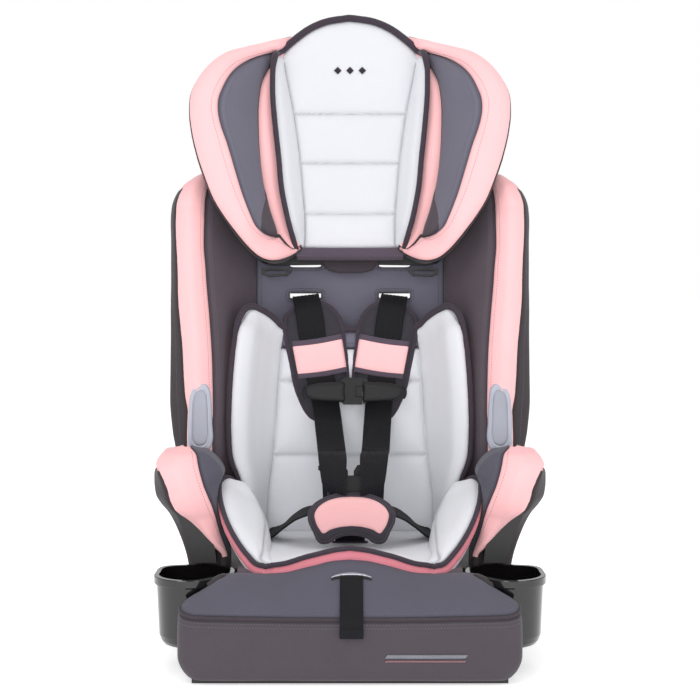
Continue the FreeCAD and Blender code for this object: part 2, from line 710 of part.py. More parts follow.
def back_cover_panel():
    """Centre panel of the cover, with the harness slots."""
    panel = box(-dim.centre_half + 0.5, dim.centre_half - 0.5, -8, -0.6, -15, 420)
    piece("back_cover_panel", leaned(cut(panel, *harness_slots(-12, 3))))


# Padded cover wrapped round the left wing: plan (x, depth), side view (depth, z)
# and front view (x, z).
BOLSTER_PLAN = [
    (-dim.centre_half - 0.5, -0.6), (-dim.centre_half - 0.5, -9), (-183, -94), (-192, -101.5),
    (-203, -104), (-218, -97), (3 - dim.side_half, -90), (-dim.side_half, -78),
    (-dim.side_half, 26), (11 - dim.side_half, 26), (-216.2, -70.5), (-211.2, -81),
    (-202, -86.8), (-190.4, -80.7), (-130.2, -0.6)]
BOLSTER_SIDE = [
    (30, 12), (-88, 12), (-95, 56), (-104, 88), (-104, 332), (-99, 373), (-79, 411),
    (-50, 438), (6, 438), (30, 384)]
BOLSTER_FRONT = [
    (-121, 12), (-121, 422), (-150, 431), (-194.5, 438.5), (-206, 433.5), (-214, 426),
    (-220.4, 416), (-226, 396), (-227, 375), (-226, 347), (-225, 300), (-225, 190),
    (-226, 143), (-224.8, 124), (-222.5, 103), (-218, 79), (-210, 12)]


def torso_bolsters():
    bolster = common(prism("XY", BOLSTER_PLAN, 12, 440), prism("YZ", BOLSTER_SIDE, -240, 0),
                     prism("XZ", BOLSTER_FRONT, -120, 60))
    shell_room = box(-216.2, -130, -2, 40, 19, 430)
    pair("torso_bolster", leaned(cut(bolster, shell_room)))


# Back insert, a centre pad with two forward-standing ears: half plan (x, depth),
# half front view (x, z) and side view (depth, z).
INSERT_PLAN = [
    (0, -dim.insert_low), (-120, -dim.insert_low), (-150, -62), (-153, -84), (-146, -94),
    (-134, -92), (-112, -62), (-96, -38), (-88, -dim.insert_high), (0, -dim.insert_high)]
INSERT_FRONT = [
    (0, -6), (-106, -6), (-146, 36), (-151, 66), (-153, 110), (-151, 176), (-146, 216),
    (-142, 241), (-135, 255), (-124, 262), (-111, 259), (-97, 249), (-86, 238), (0, 236)]
INSERT_SIDE = [
    (0, -8), (-34, -8), (-60, 6), (-95, 22), (-98, 120), (-94, 220), (-80, 264), (0, 264)]


def back_insert():
    piece("back_insert", leaned(common(prism("XY", both_sides(INSERT_PLAN), -8, 266),
                                       prism("XZ", both_sides(INSERT_FRONT), -120, 10),
                                       prism("YZ", INSERT_SIDE, -170, 170))))


# Belt guide on the front of the left bolster: (x, z).
BELT_GUIDE = [
    (-189, 160), (-196, 156), (-200.5, 146), (-202.5, 124), (-203, 96), (-202, 81),
    (-196, 74.5), (-183, 73.5), (-176, 77), (-172.5, 86), (-173, 112), (-174.5, 140),
    (-177, 154), (-182, 160)]


def belt_guides():
    """Capsule plates on the bolsters' fronts, each with a screw head in a recess."""

    def screw_disc(depth0, depth1, rad):
        return rod((-187.3, depth0, 101), (-187.3, depth1, 101), rad)

    guide = leaned(cut(prism("XZ", BELT_GUIDE, -116, -104.6), screw_disc(-120, -111, 4.8)))
    piece("belt_guides", with_mirror(guide))
    # The group takes the lean, so the cylinder keeps its own placement.
    head = leaned(group(screw_disc(-114.5, -111.2, 4.4)))
    piece("belt_guide_screws", with_mirror(head))


# ----------------------------------------------------------- shoulder harness
def shoulder_straps():
    """From the splitter plate, through the low slots and down the front to the tongues."""
    slot_x = num(dim.strap_x)
    # left strap (x, depth, z)
    stations = [
        (-30, 30, 196), (-54, 30, 262), (-slot_x, 19, 282.5), (-slot_x, 6, 284),
        (-slot_x, -9, 284), (-slot_x + 1, -30, 281), (-slot_x + 4, -43.6, 270),
        (-46, -44.6, 200), (-38, -46, 172), (-31, -48.5, 136), (-25, -84, 93),
        (-21, -112, 66)]
    left = [back_point(*station) for station in stations]
    # The right strap's lower end hangs 6 to the right of the mirror image.
    right = [(-x + (6.0 if i > 7 else 0.0), y, z) for i, (x, y, z) in enumerate(left)]
    for label, path in (("shoulder_strap_left", left), ("shoulder_strap_right", right)):
        piece(label, ribbon(path, num(dim.web_wide) - 3, num(dim.web_thick)))


# Soft pad over the left shoulder strap: (x, z).
SHOULDER_PAD = [
    (-72, 262), (-83, 246), (-82, 226), (-77, 195), (-70.5, 164), (-63, 140), (-55, 125),
    (-48, 118), (-40, 121), (-22, 150), (-7, 174), (-6.5, 201), (-11.5, 233), (-16, 255),
    (-31, 270), (-52, 268)]


def shoulder_pads():
    """Soft pads, each with a band that the strap passes under."""
    pad = prism("XZ", SHOULDER_PAD, -41.5, -31.8)
    band = cut(prism("XZ", [(-75, 214), (-12, 222), (-7.5, 186), (-70, 178)], -50, -41.4),
               prism("XZ", [(-69, 230), (-22, 230), (-14, 170), (-65, 170)], -47.8, -40))
    pair("shoulder_pad", leaned(fuse(pad, band)))


def splitter_plate():
    """Joins the two shoulder straps to the single strap behind the backrest."""
    piece("splitter_plate", leaned(cut(box(-52, 52, 24.5, 26.5, 176, 204),
                                       *side_boxes(12, 48, 20, 32, 194, 199),
                                       box(-13, 17, 20, 32, 182, 187))))


# Tether hook and its gate: (x, z).
TETHER_HOOK = [
    (-17, 120), (-17, 108), (-9, 102), (-9, 70), (4, 58), (14, 66), (14, 84), (8, 84),
    (8, 72), (3, 68), (-2, 73), (-2, 102), (17, 108), (17, 120)]
TETHER_GATE = [
    (-1.8, 99), (-0.6, 101.5), (1.5, 101), (7.8, 87), (7.8, 80), (5.6, 80), (4.6, 86),
    (-0.8, 96)]


def top_tether():
    """Strap stowed down the back, with its hook, gate and anchor plate."""
    path = [back_point(0, depth, high)
            for depth, high in ((33, 380), (36, 360), (37, 230), (41, 130))]
    piece("tether_strap", ribbon(path, 30.0, num(dim.web_thick)))
    piece("tether_hook", leaned(cut(prism("XZ", TETHER_HOOK, 39, 43),
                                    box(-12, 12, 30, 50, 111, 115))))
    piece("tether_gate", leaned(prism("XZ", TETHER_GATE, 40, 42)))
    piece("tether_anchor", leaned(cut(box(-22, 22, 24.6, 27, 372, 396),
                                      box(-16, 16, 20, 30, 378, 383))))


# ------------------------------------------------------------------ headrest
# Screws that join the moulding and the slider: (x, z).
HEADREST_SCREWS = [(x, z) for x in (-20, 20) for z in (485, 510)]
LOCK_AXIS = (14, 315)  # (depth, z) of the lock pins
# Half plan of the rear moulding: (x, depth).
HEAD_SHELL_PLAN = [
    (0, -18), (-108, -18), (-165, -97), (-198, -110), (-201, -106), (-167, -91), (-113, -13),
    (0, -13)]
# Outer edge of the left wing, from the top round to the bottom: (x, z).
WING_EDGE = [
    (-73, 626), (-98.4, 612), (-129.3, 595), (-159.4, 577.8), (-178, 565.7), (-193.4, 544.7),
    (-202.7, 519), (-204, 500), (-201, 474.4), (-192.7, 442.5), (-180, 404.4), (-161, 370),
    (-144.6, 347), (-131, 330), (-118.8, 320.2), (-103.5, 317.3), (-88, 317.3)]
WING_MIDDLE = 474  # the height that the edge is scaled about


def scaled_edge(x_scale, z_scale):
    return [(x * x_scale, WING_MIDDLE + (z - WING_MIDDLE) * z_scale) for x, z in WING_EDGE]


def headrest_screw_holes(front, rad):
    return [rod((x, 25, z), (x, front, z), rad) for x, z in HEADREST_SCREWS]


def headrest_shell():
    """Rear moulding: centre plate with two wings, and a box frame behind it."""
    face = both_sides([(0, 640), (-60, 628)] + scaled_edge(0.965, 0.965) + [(0, 324)])
    wall = common(prism("XY", both_sides(HEAD_SHELL_PLAN), 322, 640),
                  prism("XZ", face, -140, 40))
    bridge = fuse(box(-70, 70, -14, 14.5, 478, 500), box(-60, 60, 10.5, 14.5, 478, 600),
                  box(-60, 60, -14, 12, 596, 600))
    frame_sides = fuse(*side_boxes(60, 66, -14, 16, 484, 600))
    piece("headrest_shell", leaned(cut(fuse(wall, bridge, frame_sides),
                                       box(-40, 40, 6, 20, 540, 590),
                                       *headrest_screw_holes(9, 2.05))))


def headrest_slider():
    """Plate screwed to the moulding, running between the backrest's rails."""
    half = dim.slider_half
    piece("headrest_slider", leaned(cut(box(-half, half, 15.0, 19.5, 300, 520),
                                        box(-24, 24, 10, 25, 308, 460),
                                        rod((-40, *LOCK_AXIS), (40, *LOCK_AXIS), 3.4),
                                        *headrest_screw_holes(5, 2.1))))


def headrest_rack():
    """Two notched strips on the rails, with notches at half the lock pitch."""
    notches = []
    for k in range(9):
        z = 282 + dim.rack_pitch / 2 * k
        notches.append(box(-34.2, -31, 23, 28, z, z + 6))
    strip = cut(box(-37, -31.7, 24.2, 27, 280, 425), *notches)
    piece("headrest_rack", leaned(with_mirror(strip)))


# Plans of the left wing's foam and of its padded cover: (x, depth).
FOAM_PLAN = [
    (-110, -22.5), (-164.5, -98.2), (-190, -109.4), (-188, -112.6), (-165, -107.6),
    (-121.5, -51.3)]
WING_PLAN = [
    (-103, -19.2), (-107.5, -19.2), (-121.3, -53.5), (-164.6, -110), (-189, -115),
    (-195, -111.3), (-201.8, -107), (-206, -112), (-205, -124), (-194, -136), (-178, -134),
    (-160, -124), (-118, -74), (-104, -62), (-99, -46)]


def head_wings():
    """Foam in each wing, then the padded wing cover, clear of each other."""
    foam_face = [(-60, 600)] + scaled_edge(0.93, 0.9) + [(-60, 345)]
    foam = leaned(common(prism("XY", FOAM_PLAN, 330, 620), prism("XZ", foam_face, -160, 40)))
    piece("head_foam", with_mirror(foam))
    wing_face = [(-60, 630)] + WING_EDGE + [(-60, 322)]
    pair("head_wing", leaned(common(prism("XY", WING_PLAN, 318, 630),
                                    prism("XZ", wing_face, -160, 40))))


# Pillow: half plan (x, depth) and half front view (x, z).
PILLOW_PLAN = [
    (0, -19), (-98, -19), (-97, -46), (-103, -62.5), (-106, -68), (-101, -74), (-92, -70),
    (-80, -52), (-68, -42), (0, -42)]
PILLOW_FRONT = [
    (0, 651), (-34, 645), (-54, 637), (-73, 623), (-95, 601), (-103.4, 580), (-106, 557),
    (-101.4, 511), (-94.7, 462), (-88.2, 410), (-81.6, 364), (-74, 341), (-69, 327), (0, 327)]


def head_insert():
    """Pillow with a flap below it."""
    pillow = common(prism("XY", both_sides(PILLOW_PLAN), 320, 655),
                    prism("XZ", both_sides(PILLOW_FRONT), -120, 10))
    flap = prism("XZ", both_sides([(0, 311), (-26, 313), (-37, 326), (-37, 330), (0, 330)]),
                 -24, -19)
    piece("head_insert", leaned(fuse(pillow, flap)))


def shoulder_belt_guides():
    """Closed loops under the wings that guide the vehicle's shoulder belt."""
    outer = [(-115, 317), (-80, 317), (-76, 313.5), (-82, 308), (-107, 306.5), (-116, 311)]
    inner = [(-110, 314.6), (-84, 314.6), (-81.5, 313.2), (-85, 310.6), (-105, 309.4),
             (-111, 312)]
    loop = leaned(cut(prism("XZ", outer, -27, -21.5), prism("XZ", inner, -30, -20)))
    piece("shoulder_belt_guides", with_mirror(loop))


def headrest_release():
    """Handle with its long stem, the two lock pins and the spring between them."""
    grip = cut(box(-44, 44, 17, 24, 552, 582), box(-30, 30, 10, 30, 562, 572))
    piece("headrest_handle", leaned(fuse(grip, box(-5, 5, 20.4, 24, 330, 555),
                                         box(-14, 14, 20.4, 24, 318, 340))))
    pin = fuse(rod((-31.3, *LOCK_AXIS), (-18, *LOCK_AXIS), dim.pin_rad),
               box(-18.5, -12, 10.5, 17, 311, 319))
    pair("lock_pin", leaned(pin))
    # The spring lies along X at z = 0 of the leaned frame.
    piece("lock_spring", leaned(coil((-11.4, 13.8, 0), 22.8, rad=2.2, wire=0.4, turns=7,
                                     axis=(1, 0, 0))))


# ---------------------------------------------------------------- chest clip
# Drawn about its own middle (x across, y depth, z up), then laid on the straps.
CLIP_AT = back_point(num(dim.clip_x), -59, 153)
CLIP_LEAN = 10


def chest_clip():
    end = dim.clip_half
    socket = cut(
        prism("XZ", [(-end, -5), (-56, -9), (-20, -10), (-13, -16), (11, -16), (11, 18),
                     (-12, 18), (-20, 11), (-56, 9), (-end, 5)], -6, 6),
        box(-1, 12, -3.2, 3.2, -11.5, 12.5), box(-52, -46, -8, 8, -6.5, 6.5),
        box(-30, -24, -8, 8, -7, 7), box(2.5, 12, -7, -3, -7, 7))
    tongue = fuse(
        prism("XZ", [(end, -5), (56, -9), (20, -10), (15, -15), (11.6, -15), (11.6, 17),
                     (15, 17), (20, 11), (56, 9), (end, 5)], -6, 6),
        box(0, 12, -2.4, 2.4, -10.6, -7.2), box(0, 12, -2.4, 2.4, 8.2, 11.6))
    tongue = cut(tongue, box(46, 52, -8, 8, -6.5, 6.5), box(24, 30, -8, 8, -7, 7))
    button = prism("XZ", [(3, -6.4), (3, 6.4), (11, 6.4), (11, -6.4)], -7.4, -3.6)
    for name, obj in (("socket", socket), ("tongue", tongue), ("button", button)):
        piece("chest_clip_" + name, place(obj, CLIP_AT, CLIP_LEAN))


# ---------------------------------------------------------------- fasteners
def fasteners():
    """One group for the base, one for the headrest slider."""
    piece("base_screws", group(*[screw((x, y, 96.4), (0, 0, 1), 6.0)
                                 for x, y in ANCHOR_SCREWS]))
    piece("headrest_screws", group(*[leaned(screw((x, 22.2, z), (0, -1, 0), 10.0))
                                     for x, z in HEADREST_SCREWS]))


# --------------------------------------------------------------------- build
for build in (
        base_shell, base_cover, armrest_covers, seat_insert, hinge_rod, hinge_clips,
        cup_holders, harness_adjuster, adjuster_straps, crotch_strap, buckle, buckle_tongues,
        crotch_pad, harness_anchors, lap_straps, backrest_shell, back_cover_panel,
        torso_bolsters, back_insert, belt_guides, shoulder_straps, shoulder_pads,
        splitter_plate, top_tether, headrest_shell, headrest_slider, headrest_rack,
        head_wings, head_insert, shoulder_belt_guides, headrest_release, chest_clip,
        fasteners):
    build()

# The second pass settles whatever the first one leaves touched.
doc.recompute()
doc.recompute()

failed = []
for obj in doc.Objects:
    states = [str(state) for state in obj.State]
    if "Invalid" in states or "Error" in states:
        failed.append((obj.Name, obj.Label, states))
for label, obj in PIECES.items():
    shape = obj.Shape
    if shape.isNull() or not shape.isValid() or not shape.Solids:
        failed.append((label, "null, not valid or without a solid"))
if failed:
    raise RuntimeError("pieces that failed: %s" % failed)

for label, obj in PIECES.items():
    obj.Shape.exportStep("parts/%s.step" % label)
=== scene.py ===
"""Child booster seat: covers, pads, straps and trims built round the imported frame.

Sizes are in millimetres; make() turns them into metres.  Z is up, the seat faces -Y and
pieces named "left" lie at -X.  Parts of the backrest and headrest are drawn in the back
frame (x, depth, height), which leans back 10 degrees; negative depth is to the front.
"""
import bpy
import bmesh
import math
import numpy as np
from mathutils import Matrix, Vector


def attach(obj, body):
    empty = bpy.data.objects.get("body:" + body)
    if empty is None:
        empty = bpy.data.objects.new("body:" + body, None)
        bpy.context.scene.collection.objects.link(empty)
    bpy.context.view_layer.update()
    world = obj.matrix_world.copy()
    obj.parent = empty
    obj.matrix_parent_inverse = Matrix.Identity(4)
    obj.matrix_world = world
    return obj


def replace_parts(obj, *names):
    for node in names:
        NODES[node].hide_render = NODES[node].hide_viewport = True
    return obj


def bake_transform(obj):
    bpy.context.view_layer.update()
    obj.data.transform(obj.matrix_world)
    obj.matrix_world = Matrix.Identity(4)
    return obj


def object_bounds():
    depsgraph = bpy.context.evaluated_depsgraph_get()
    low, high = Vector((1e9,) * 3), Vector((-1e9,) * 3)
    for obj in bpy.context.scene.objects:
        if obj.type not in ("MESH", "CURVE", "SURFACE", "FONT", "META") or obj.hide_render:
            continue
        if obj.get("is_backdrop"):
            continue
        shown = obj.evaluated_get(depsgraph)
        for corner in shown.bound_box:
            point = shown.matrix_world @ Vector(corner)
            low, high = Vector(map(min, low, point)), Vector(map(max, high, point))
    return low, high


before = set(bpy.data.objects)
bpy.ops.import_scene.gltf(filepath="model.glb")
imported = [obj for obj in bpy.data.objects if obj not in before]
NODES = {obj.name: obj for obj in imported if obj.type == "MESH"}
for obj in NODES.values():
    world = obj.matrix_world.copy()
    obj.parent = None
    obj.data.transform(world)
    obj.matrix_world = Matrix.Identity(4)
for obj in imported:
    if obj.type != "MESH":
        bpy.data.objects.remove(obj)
cad_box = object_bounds()

MM = 0.001
FORWARD = (0, -1, 0)
SIDES = ((1, "left"), (-1, "right"))  # factor on x for points drawn on the left
ROUND_TURN = 6.28                     # a full turn, rounded: random phases, UVs, bands

# the back frame
LEAN_SIN, LEAN_COS = math.sin(math.radians(10)), math.cos(math.radians(10))
BACK_Y, BACK_Z = 110, 150


# ------------------------------------------------------------------ places
def lean(points):
    """Points (x, depth, height) of the back frame, in the seat's frame."""
    p = np.asarray(points, float)
    x, depth, height = p[..., 0], p[..., 1], p[..., 2]
    return np.stack([x, BACK_Y + height * LEAN_SIN + depth * LEAN_COS,
                     BACK_Z + height * LEAN_COS - depth * LEAN_SIN], -1)


def stack(*parts):
    return np.stack(np.broadcast_arrays(*parts), -1)


def back(x, depth, height):
    """Like lean(), from separate coordinates."""
    return lean(stack(x, depth, height))


def tilted(origin, degrees, face=0.0):
    """Placing function (across, up, out) for a plane that leans back about an origin."""
    sin, cos = math.sin(math.radians(degrees)), math.cos(math.radians(degrees))

    def place(across, up, out):
        y = -face - out
        return stack(origin[0] + across, origin[1] + y * cos + up * sin,
                     origin[2] + up * cos - y * sin)
    return place


def upright(x, pairs):
    """Points (y, z) in the plane of one x."""
    return np.array([(x, y, z) for y, z in pairs], float)


# ------------------------------------------------------------------ curves
def unit(a, tiny=1e-9):
    return a / (np.linalg.norm(a, axis=-1, keepdims=True) + tiny)


def lengths(path):
    """Length along a path at each of its points."""
    return np.r_[0, np.cumsum(np.linalg.norm(np.diff(path, axis=0), axis=1))]


def curve(points, count, closed=False):
    """Smooth curve through points, resampled to points spread evenly along it."""
    p = np.asarray(points, float)
    if closed:
        p = np.vstack([p[-2:], p, p[:3]])
    h = np.linalg.norm(np.diff(p, axis=0), axis=1) + 1e-9
    d = np.diff(p, axis=0) / h[:, None]
    slope = np.zeros_like(p)
    slope[1:-1] = (d[:-1] * h[1:, None] + d[1:] * h[:-1, None]) / (h[:-1] + h[1:])[:, None]
    slope[0], slope[-1] = d[0], d[-1]
    t = np.linspace(0, 1, 24, endpoint=False)[:, None]
    pieces = []
    for i in range(2, len(p) - 3) if closed else range(len(p) - 1):
        a = (2 * t**3 - 3 * t**2 + 1) * p[i] + (t**3 - 2 * t**2 + t) * h[i] * slope[i]
        b = (-2 * t**3 + 3 * t**2) * p[i + 1] + (t**3 - t**2) * h[i] * slope[i + 1]
        pieces.append(a + b)
    dense = np.vstack(pieces + ([pieces[0][:1]] if closed else [p[-1:]]))
    s = lengths(dense)
    u = np.linspace(0, s[-1], count + (1 if closed else 0))
    even = np.stack([np.interp(u, s, dense[:, k]) for k in range(dense.shape[1])], -1)
    return even[:-1] if closed else even


def graph(pairs):
    """Smooth function through (t, value) pairs that never overshoots them."""
    a = np.array(sorted(pairs), float)
    t, y = a[:, 0], a[:, 1]
    h = np.diff(t)
    d = np.diff(y) / h
    m = np.zeros(len(t))
    m[0], m[-1] = d[0], d[-1]
    for i in range(1, len(t) - 1):
        if d[i - 1] * d[i] > 0:
            w1, w2 = 2 * h[i] + h[i - 1], h[i] + 2 * h[i - 1]
            m[i] = (w1 + w2) / (w1 / d[i - 1] + w2 / d[i])

    def value(x):
        x = np.clip(np.asarray(x, float), t[0], t[-1])
        i = np.clip(np.searchsorted(t, x) - 1, 0, len(t) - 2)
        u = (x - t[i]) / h[i]
        return ((2 * u**3 - 3 * u**2 + 1) * y[i] + (u**3 - 2 * u**2 + u) * h[i] * m[i]
                + (-2 * u**3 + 3 * u**2) * y[i + 1] + (u**3 - u**2) * h[i] * m[i + 1])
    return value


def smooth(t):
    t = np.clip(t, 0, 1)
    return t * t * (3 - 2 * t)


def oval(cx, cy, half_w, half_h, power_y, count, endpoint=False):
    """Points (a, b) on a rounded rectangle."""
    def side(value, power):
        return math.copysign(abs(value)**power, value)
    return [(cx + half_w * side(math.cos(t), 0.3), cy + half_h * side(math.sin(t), power_y))
            for t in np.linspace(0, 2 * math.pi, count, endpoint=endpoint)]


def mirror_line(half):
    """A line (x, y) that ends on the centre, carried on to the other side."""
    return np.vstack([half, (half * [-1, 1])[::-1][1:]])


def mirror_loop(half):
    """A closed outline from its half; both ends of the half lie on the centre."""
    return mirror_line(half)[:-1]


def outward(loop):
    """Directions away from a loop's centre, with no part along y."""
    away = loop - loop.mean(0)
    away[:, 1] = 0
    return unit(away, 0)


# ---------------------------------------------------------------- surfaces
def coons(bottom, top, left, right):
    """Grid of points filling four boundary lines; rows run from bottom to top."""
    s = np.linspace(0, 1, len(left))[:, None, None]
    u = np.linspace(0, 1, len(bottom))[None, :, None]
    return ((1 - s) * bottom[None] + s * top[None] + (1 - u) * left[:, None]
            + u * right[:, None]
            - ((1 - u) * (1 - s) * bottom[0] + u * (1 - s) * bottom[-1]
               + (1 - u) * s * top[0] + u * s * top[-1]))


def mirror_grid(half):
    """A grid whose last column is on the centre, with its other half."""
    return np.concatenate([half, (half * [-1, 1, 1])[:, ::-1][:, 1:]], 1)


def loft(lines, strips, bows=None):
    """Columns between neighbouring lines, from a (steps, material slot) per strip.

    A bow pushes the middle of its strip forward.  Returns the columns, the slot of each
    cell across and the column number of each line."""
    columns, slots, marks = [lines[0]], [], [0]
    for a, b, (steps, slot), bow in zip(lines, lines[1:], strips, bows or [0] * len(strips)):
        for q in np.linspace(0, 1, steps + 1)[1:]:
            p = a + (b - a) * q
            p[:, 1] -= bow * np.sin(np.pi * q)
            columns.append(p)
        slots += [slot] * steps
        marks.append(marks[-1] + steps)
    return columns, slots, marks


def bulge(skin, first, last, amount):
    """Push the columns between two marks forward, most in their middle."""
    q = (np.arange(first, last + 1) - first) / (last - first)
    skin[:, first:last + 1, 1] -= np.sin(np.pi * q)[None, :] * amount


def stepped(at, stops, values):
    """The value of the interval, between stops, that each number is in."""
    return np.take(values, np.digitize(at, stops))


def normals(skin, out=FORWARD):
    """Unit normals of a grid, on the side of `out`."""
    normal = unit(np.cross(np.gradient(skin, axis=1), np.gradient(skin, axis=0)))
    if np.sum(normal @ np.asarray(out, float)) < 0:
        normal = -normal
    return normal


def near(points, lines):
    """Distance to the nearest of some polylines, and the length along it there."""
    flat = points.reshape(-1, 3)
    best = np.full(len(flat), 1e9)
    along = np.zeros(len(flat))
    for line in lines:
        line = np.asarray(line, float)
        s = 0.0
        for a, b in zip(line[:-1], line[1:]):
            ab = b - a
            square = ab @ ab
            if square < 1e-12:
                continue
            t = np.clip((flat - a) @ ab / square, 0, 1)
            d = np.linalg.norm(flat - a - t[:, None] * ab, axis=1)
            closer = d < best
            best[closer] = d[closer]
            along[closer] = s + t[closer] * math.sqrt(square)
            s += math.sqrt(square)
    return best.reshape(points.shape[:-1]), along.reshape(points.shape[:-1])


def crossing(skin, field, axis):
    """Points where a field changes sign along one direction of the grid."""
    out = []
    fields = np.moveaxis(field, axis, 0)
    points = np.moveaxis(skin, axis, 0)
    for j in range(fields.shape[1]):
        f = fields[:, j]
        k = np.where(np.sign(f[:-1]) * np.sign(f[1:]) < 0)[0]
        if len(k) == 0:
            continue
        k = k[0]
        t = f[k] / (f[k] - f[k + 1])
        out.append(points[k, j] * (1 - t) + points[k + 1, j] * t)
    return np.array(out)


def pucker(s, seed):
    """Ripples along a seam: four wavelengths with random phases."""
    r = np.random.default_rng(seed)
    out = np.zeros_like(s)
    for wave in (7.5, 11.0, 17.0, 29.0):
        out += (np.sin(2 * math.pi * s / wave * (1 + 0.07 * r.standard_normal())
                       + r.uniform(0, ROUND_TURN)) * (0.6 + 0.25 * r.uniform()))
    return out / 2.6


def lump(points, seed, size=60.0):
    """Slow random waves through space, for loose cloth."""
    r = np.random.default_rng(seed)
    out = np.zeros(points.shape[:-1])
    for _ in range(5):
        w = r.standard_normal(3)
        w /= np.linalg.norm(w)
        out += np.sin(points @ w * 2 * math.pi / (size * r.uniform(0.6, 1.5))
                      + r.uniform(0, ROUND_TURN))
    return out / 5


def dome(d, width):
    """Quarter-round rise from 0 at d = 0 to 1 at d = width."""
    return np.sqrt(np.clip(1 - (1 - np.clip(d / width, 0, 1))**2, 0, 1))


def puff(skin, normal, seams, high, wide, groove, wrinkle, seed, loose,
         limit=1.0, border=None, inset=3.5):
    """Blow a surface out between its seams; puckers run off the seams.

    Returns the surface and the distances from the seams."""
    d, s = near(skin, seams)
    if border is not None:
        border_d, border_s = near(skin, border)
        border_d = np.maximum(border_d - inset, 0)
        s = np.where(border_d < d, border_s, s)
        d = np.minimum(d, border_d)
    h = high * dome(d, wide)
    h = h - groove * np.exp(-(d / 1.5)**2)
    h = h + wrinkle * pucker(s, seed) * np.exp(-d / 9.0) * (1 - np.exp(-d / 1.3))
    h = h + loose * lump(skin, seed + 5)
    return skin + normal * (h * limit)[..., None], d


def crease(puffed, skin, normal, line, seam_d, depth, width):
    """Sink one more seam; returns the surface and the distances from all seams."""
    d = near(skin, [line])[0]
    return (puffed - normal * (depth * np.exp(-(d / width)**2))[..., None],
            np.minimum(seam_d, d))


def seam_shade_of(d, width=2.2):
    """Painted seam shade: 0 on a seam, where the cloth is painted darkest, 1 away from it."""
    return 1 - np.exp(-(d / width)**2)


# ------------------------------------------------------------------ meshes
def ring_faces(rings, count, start=0):
    """Quads between rings of points."""
    faces = []
    for i in range(rings - 1):
        for j in range(count):
            k = (j + 1) % count
            a, b = start + i * count, start + (i + 1) * count
            faces.append((a + j, a + k, b + k, b + j))
    return faces


def make(name, points, faces, mats, slots=None, seam_shade=None, uv=None, merge=0.0, body=None):
    """A smooth mesh object from millimetres, with its faces turned outward."""
    me = bpy.data.meshes.new(name)
    me.from_pydata((np.asarray(points, float) * MM).tolist(), [], [tuple(f) for f in faces])
    for m in mats:
        me.materials.append(m)
    if slots is not None:
        me.polygons.foreach_set("material_index", np.asarray(slots, np.int32))
    # painted shade: per-point seam shade that the cloth materials use to darken their seams
    if seam_shade is not None:
        seam = me.attributes.new("seam", "FLOAT", "POINT")
        seam.data.foreach_set("value", np.asarray(seam_shade, np.float32))
    if uv is not None:
        layer = me.uv_layers.new(name="UVMap")
        corner = np.zeros(len(me.loops), np.int32)
        me.loops.foreach_get("vertex_index", corner)
        layer.data.foreach_set("uv", np.asarray(uv, np.float32)[corner].ravel())
    bm = bmesh.new()
    bm.from_mesh(me)
    if merge:
        bmesh.ops.remove_doubles(bm, verts=bm.verts, dist=merge * MM)
        bmesh.ops.dissolve_degenerate(bm, dist=1e-7, edges=bm.edges)
    bmesh.ops.recalc_face_normals(bm, faces=bm.faces)
    bm.to_mesh(me)
    bm.free()
    me.polygons.foreach_set("use_smooth", np.ones(len(me.polygons), bool))
    me.update()
    ob = bpy.data.objects.new(name, me)
    bpy.context.scene.collection.objects.link(ob)
    if body:
        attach(ob, body)
    return ob


def mirrored(ob, body):
    """The right-hand copy of a left piece."""
    name = ob.name.replace("left", "right")
    me = ob.data.copy()
    me.name = name
    co = np.zeros(len(me.vertices) * 3, np.float32)
    me.vertices.foreach_get("co", co)
    co = co.reshape(-1, 3)
    co[:, 0] *= -1
    me.vertices.foreach_set("co", co.ravel())
    me.flip_normals()
    me.update()
    copy = bpy.data.objects.new(name, me)
    bpy.context.scene.collection.objects.link(copy)
    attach(copy, body)
    return copy


def both_sides(parts, body, node):
    """Copy left pieces to the right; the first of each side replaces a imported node."""
    copies = [mirrored(part, body) for part in parts]
    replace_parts(parts[0], node)
    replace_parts(copies[0], node.replace("left", "right"))


def slab(name, skin, thick, mats, cell=0, out=FORWARD, seam_shade=None, rim=None, keep=None,
         body=None):
    """A padded panel: a grid, an inner skin behind it, and rims round it and its openings.

    The last material is on the inner skin and, unless `rim` is given, on the rims."""
    rows, cols = skin.shape[:2]
    inward = normals(skin, out)
    for _ in range(8):
        z = np.pad(inward, ((1, 1), (1, 1), (0, 0)), mode="edge")
        inward = (z[:-2, 1:-1] + z[2:, 1:-1] + z[1:-1, :-2] + z[1:-1, 2:] + inward * 2) / 6
    inner = skin - unit(inward) * np.asarray(thick, float)[..., None]
    points = np.vstack([skin.reshape(-1, 3), inner.reshape(-1, 3)])
    half = rows * cols
    cell = np.broadcast_to(np.asarray(cell, int), (rows - 1, cols - 1))
    if keep is None:
        keep = np.ones((rows - 1, cols - 1), bool)
    inner_slot = len(mats) - 1
    rim_slot = inner_slot if rim is None else rim
    faces, slots = [], []
    for i in range(rows - 1):
        for j in range(cols - 1):
            if not keep[i, j]:
                continue
            q = (i * cols + j, i * cols + j + 1, (i + 1) * cols + j + 1, (i + 1) * cols + j)
            faces += [q, tuple(v + half for v in q[::-1])]
            slots += [cell[i, j], inner_slot]
            for side, (di, dj) in enumerate(((-1, 0), (0, 1), (1, 0), (0, -1))):
                a, c = i + di, j + dj
                if not (0 <= a < rows - 1 and 0 <= c < cols - 1 and keep[a, c]):
                    e0, e1 = q[side], q[(side + 1) % 4]
                    faces.append((e1, e0, e0 + half, e1 + half))
                    slots.append(rim_slot)
    # painted seam shade on the outer skin only; the inner skin is left unshaded
    seam_shades = np.ones(2 * half)
    if seam_shade is not None:
        seam_shades[:half] = seam_shade.ravel()
    used = np.unique(np.array(faces).ravel())
    renumber = -np.ones(2 * half, int)
    renumber[used] = np.arange(len(used))
    faces = [tuple(int(renumber[v]) for v in f) for f in faces]
    return make(name, points[used], faces, mats, slots, seam_shades[used], body=body)


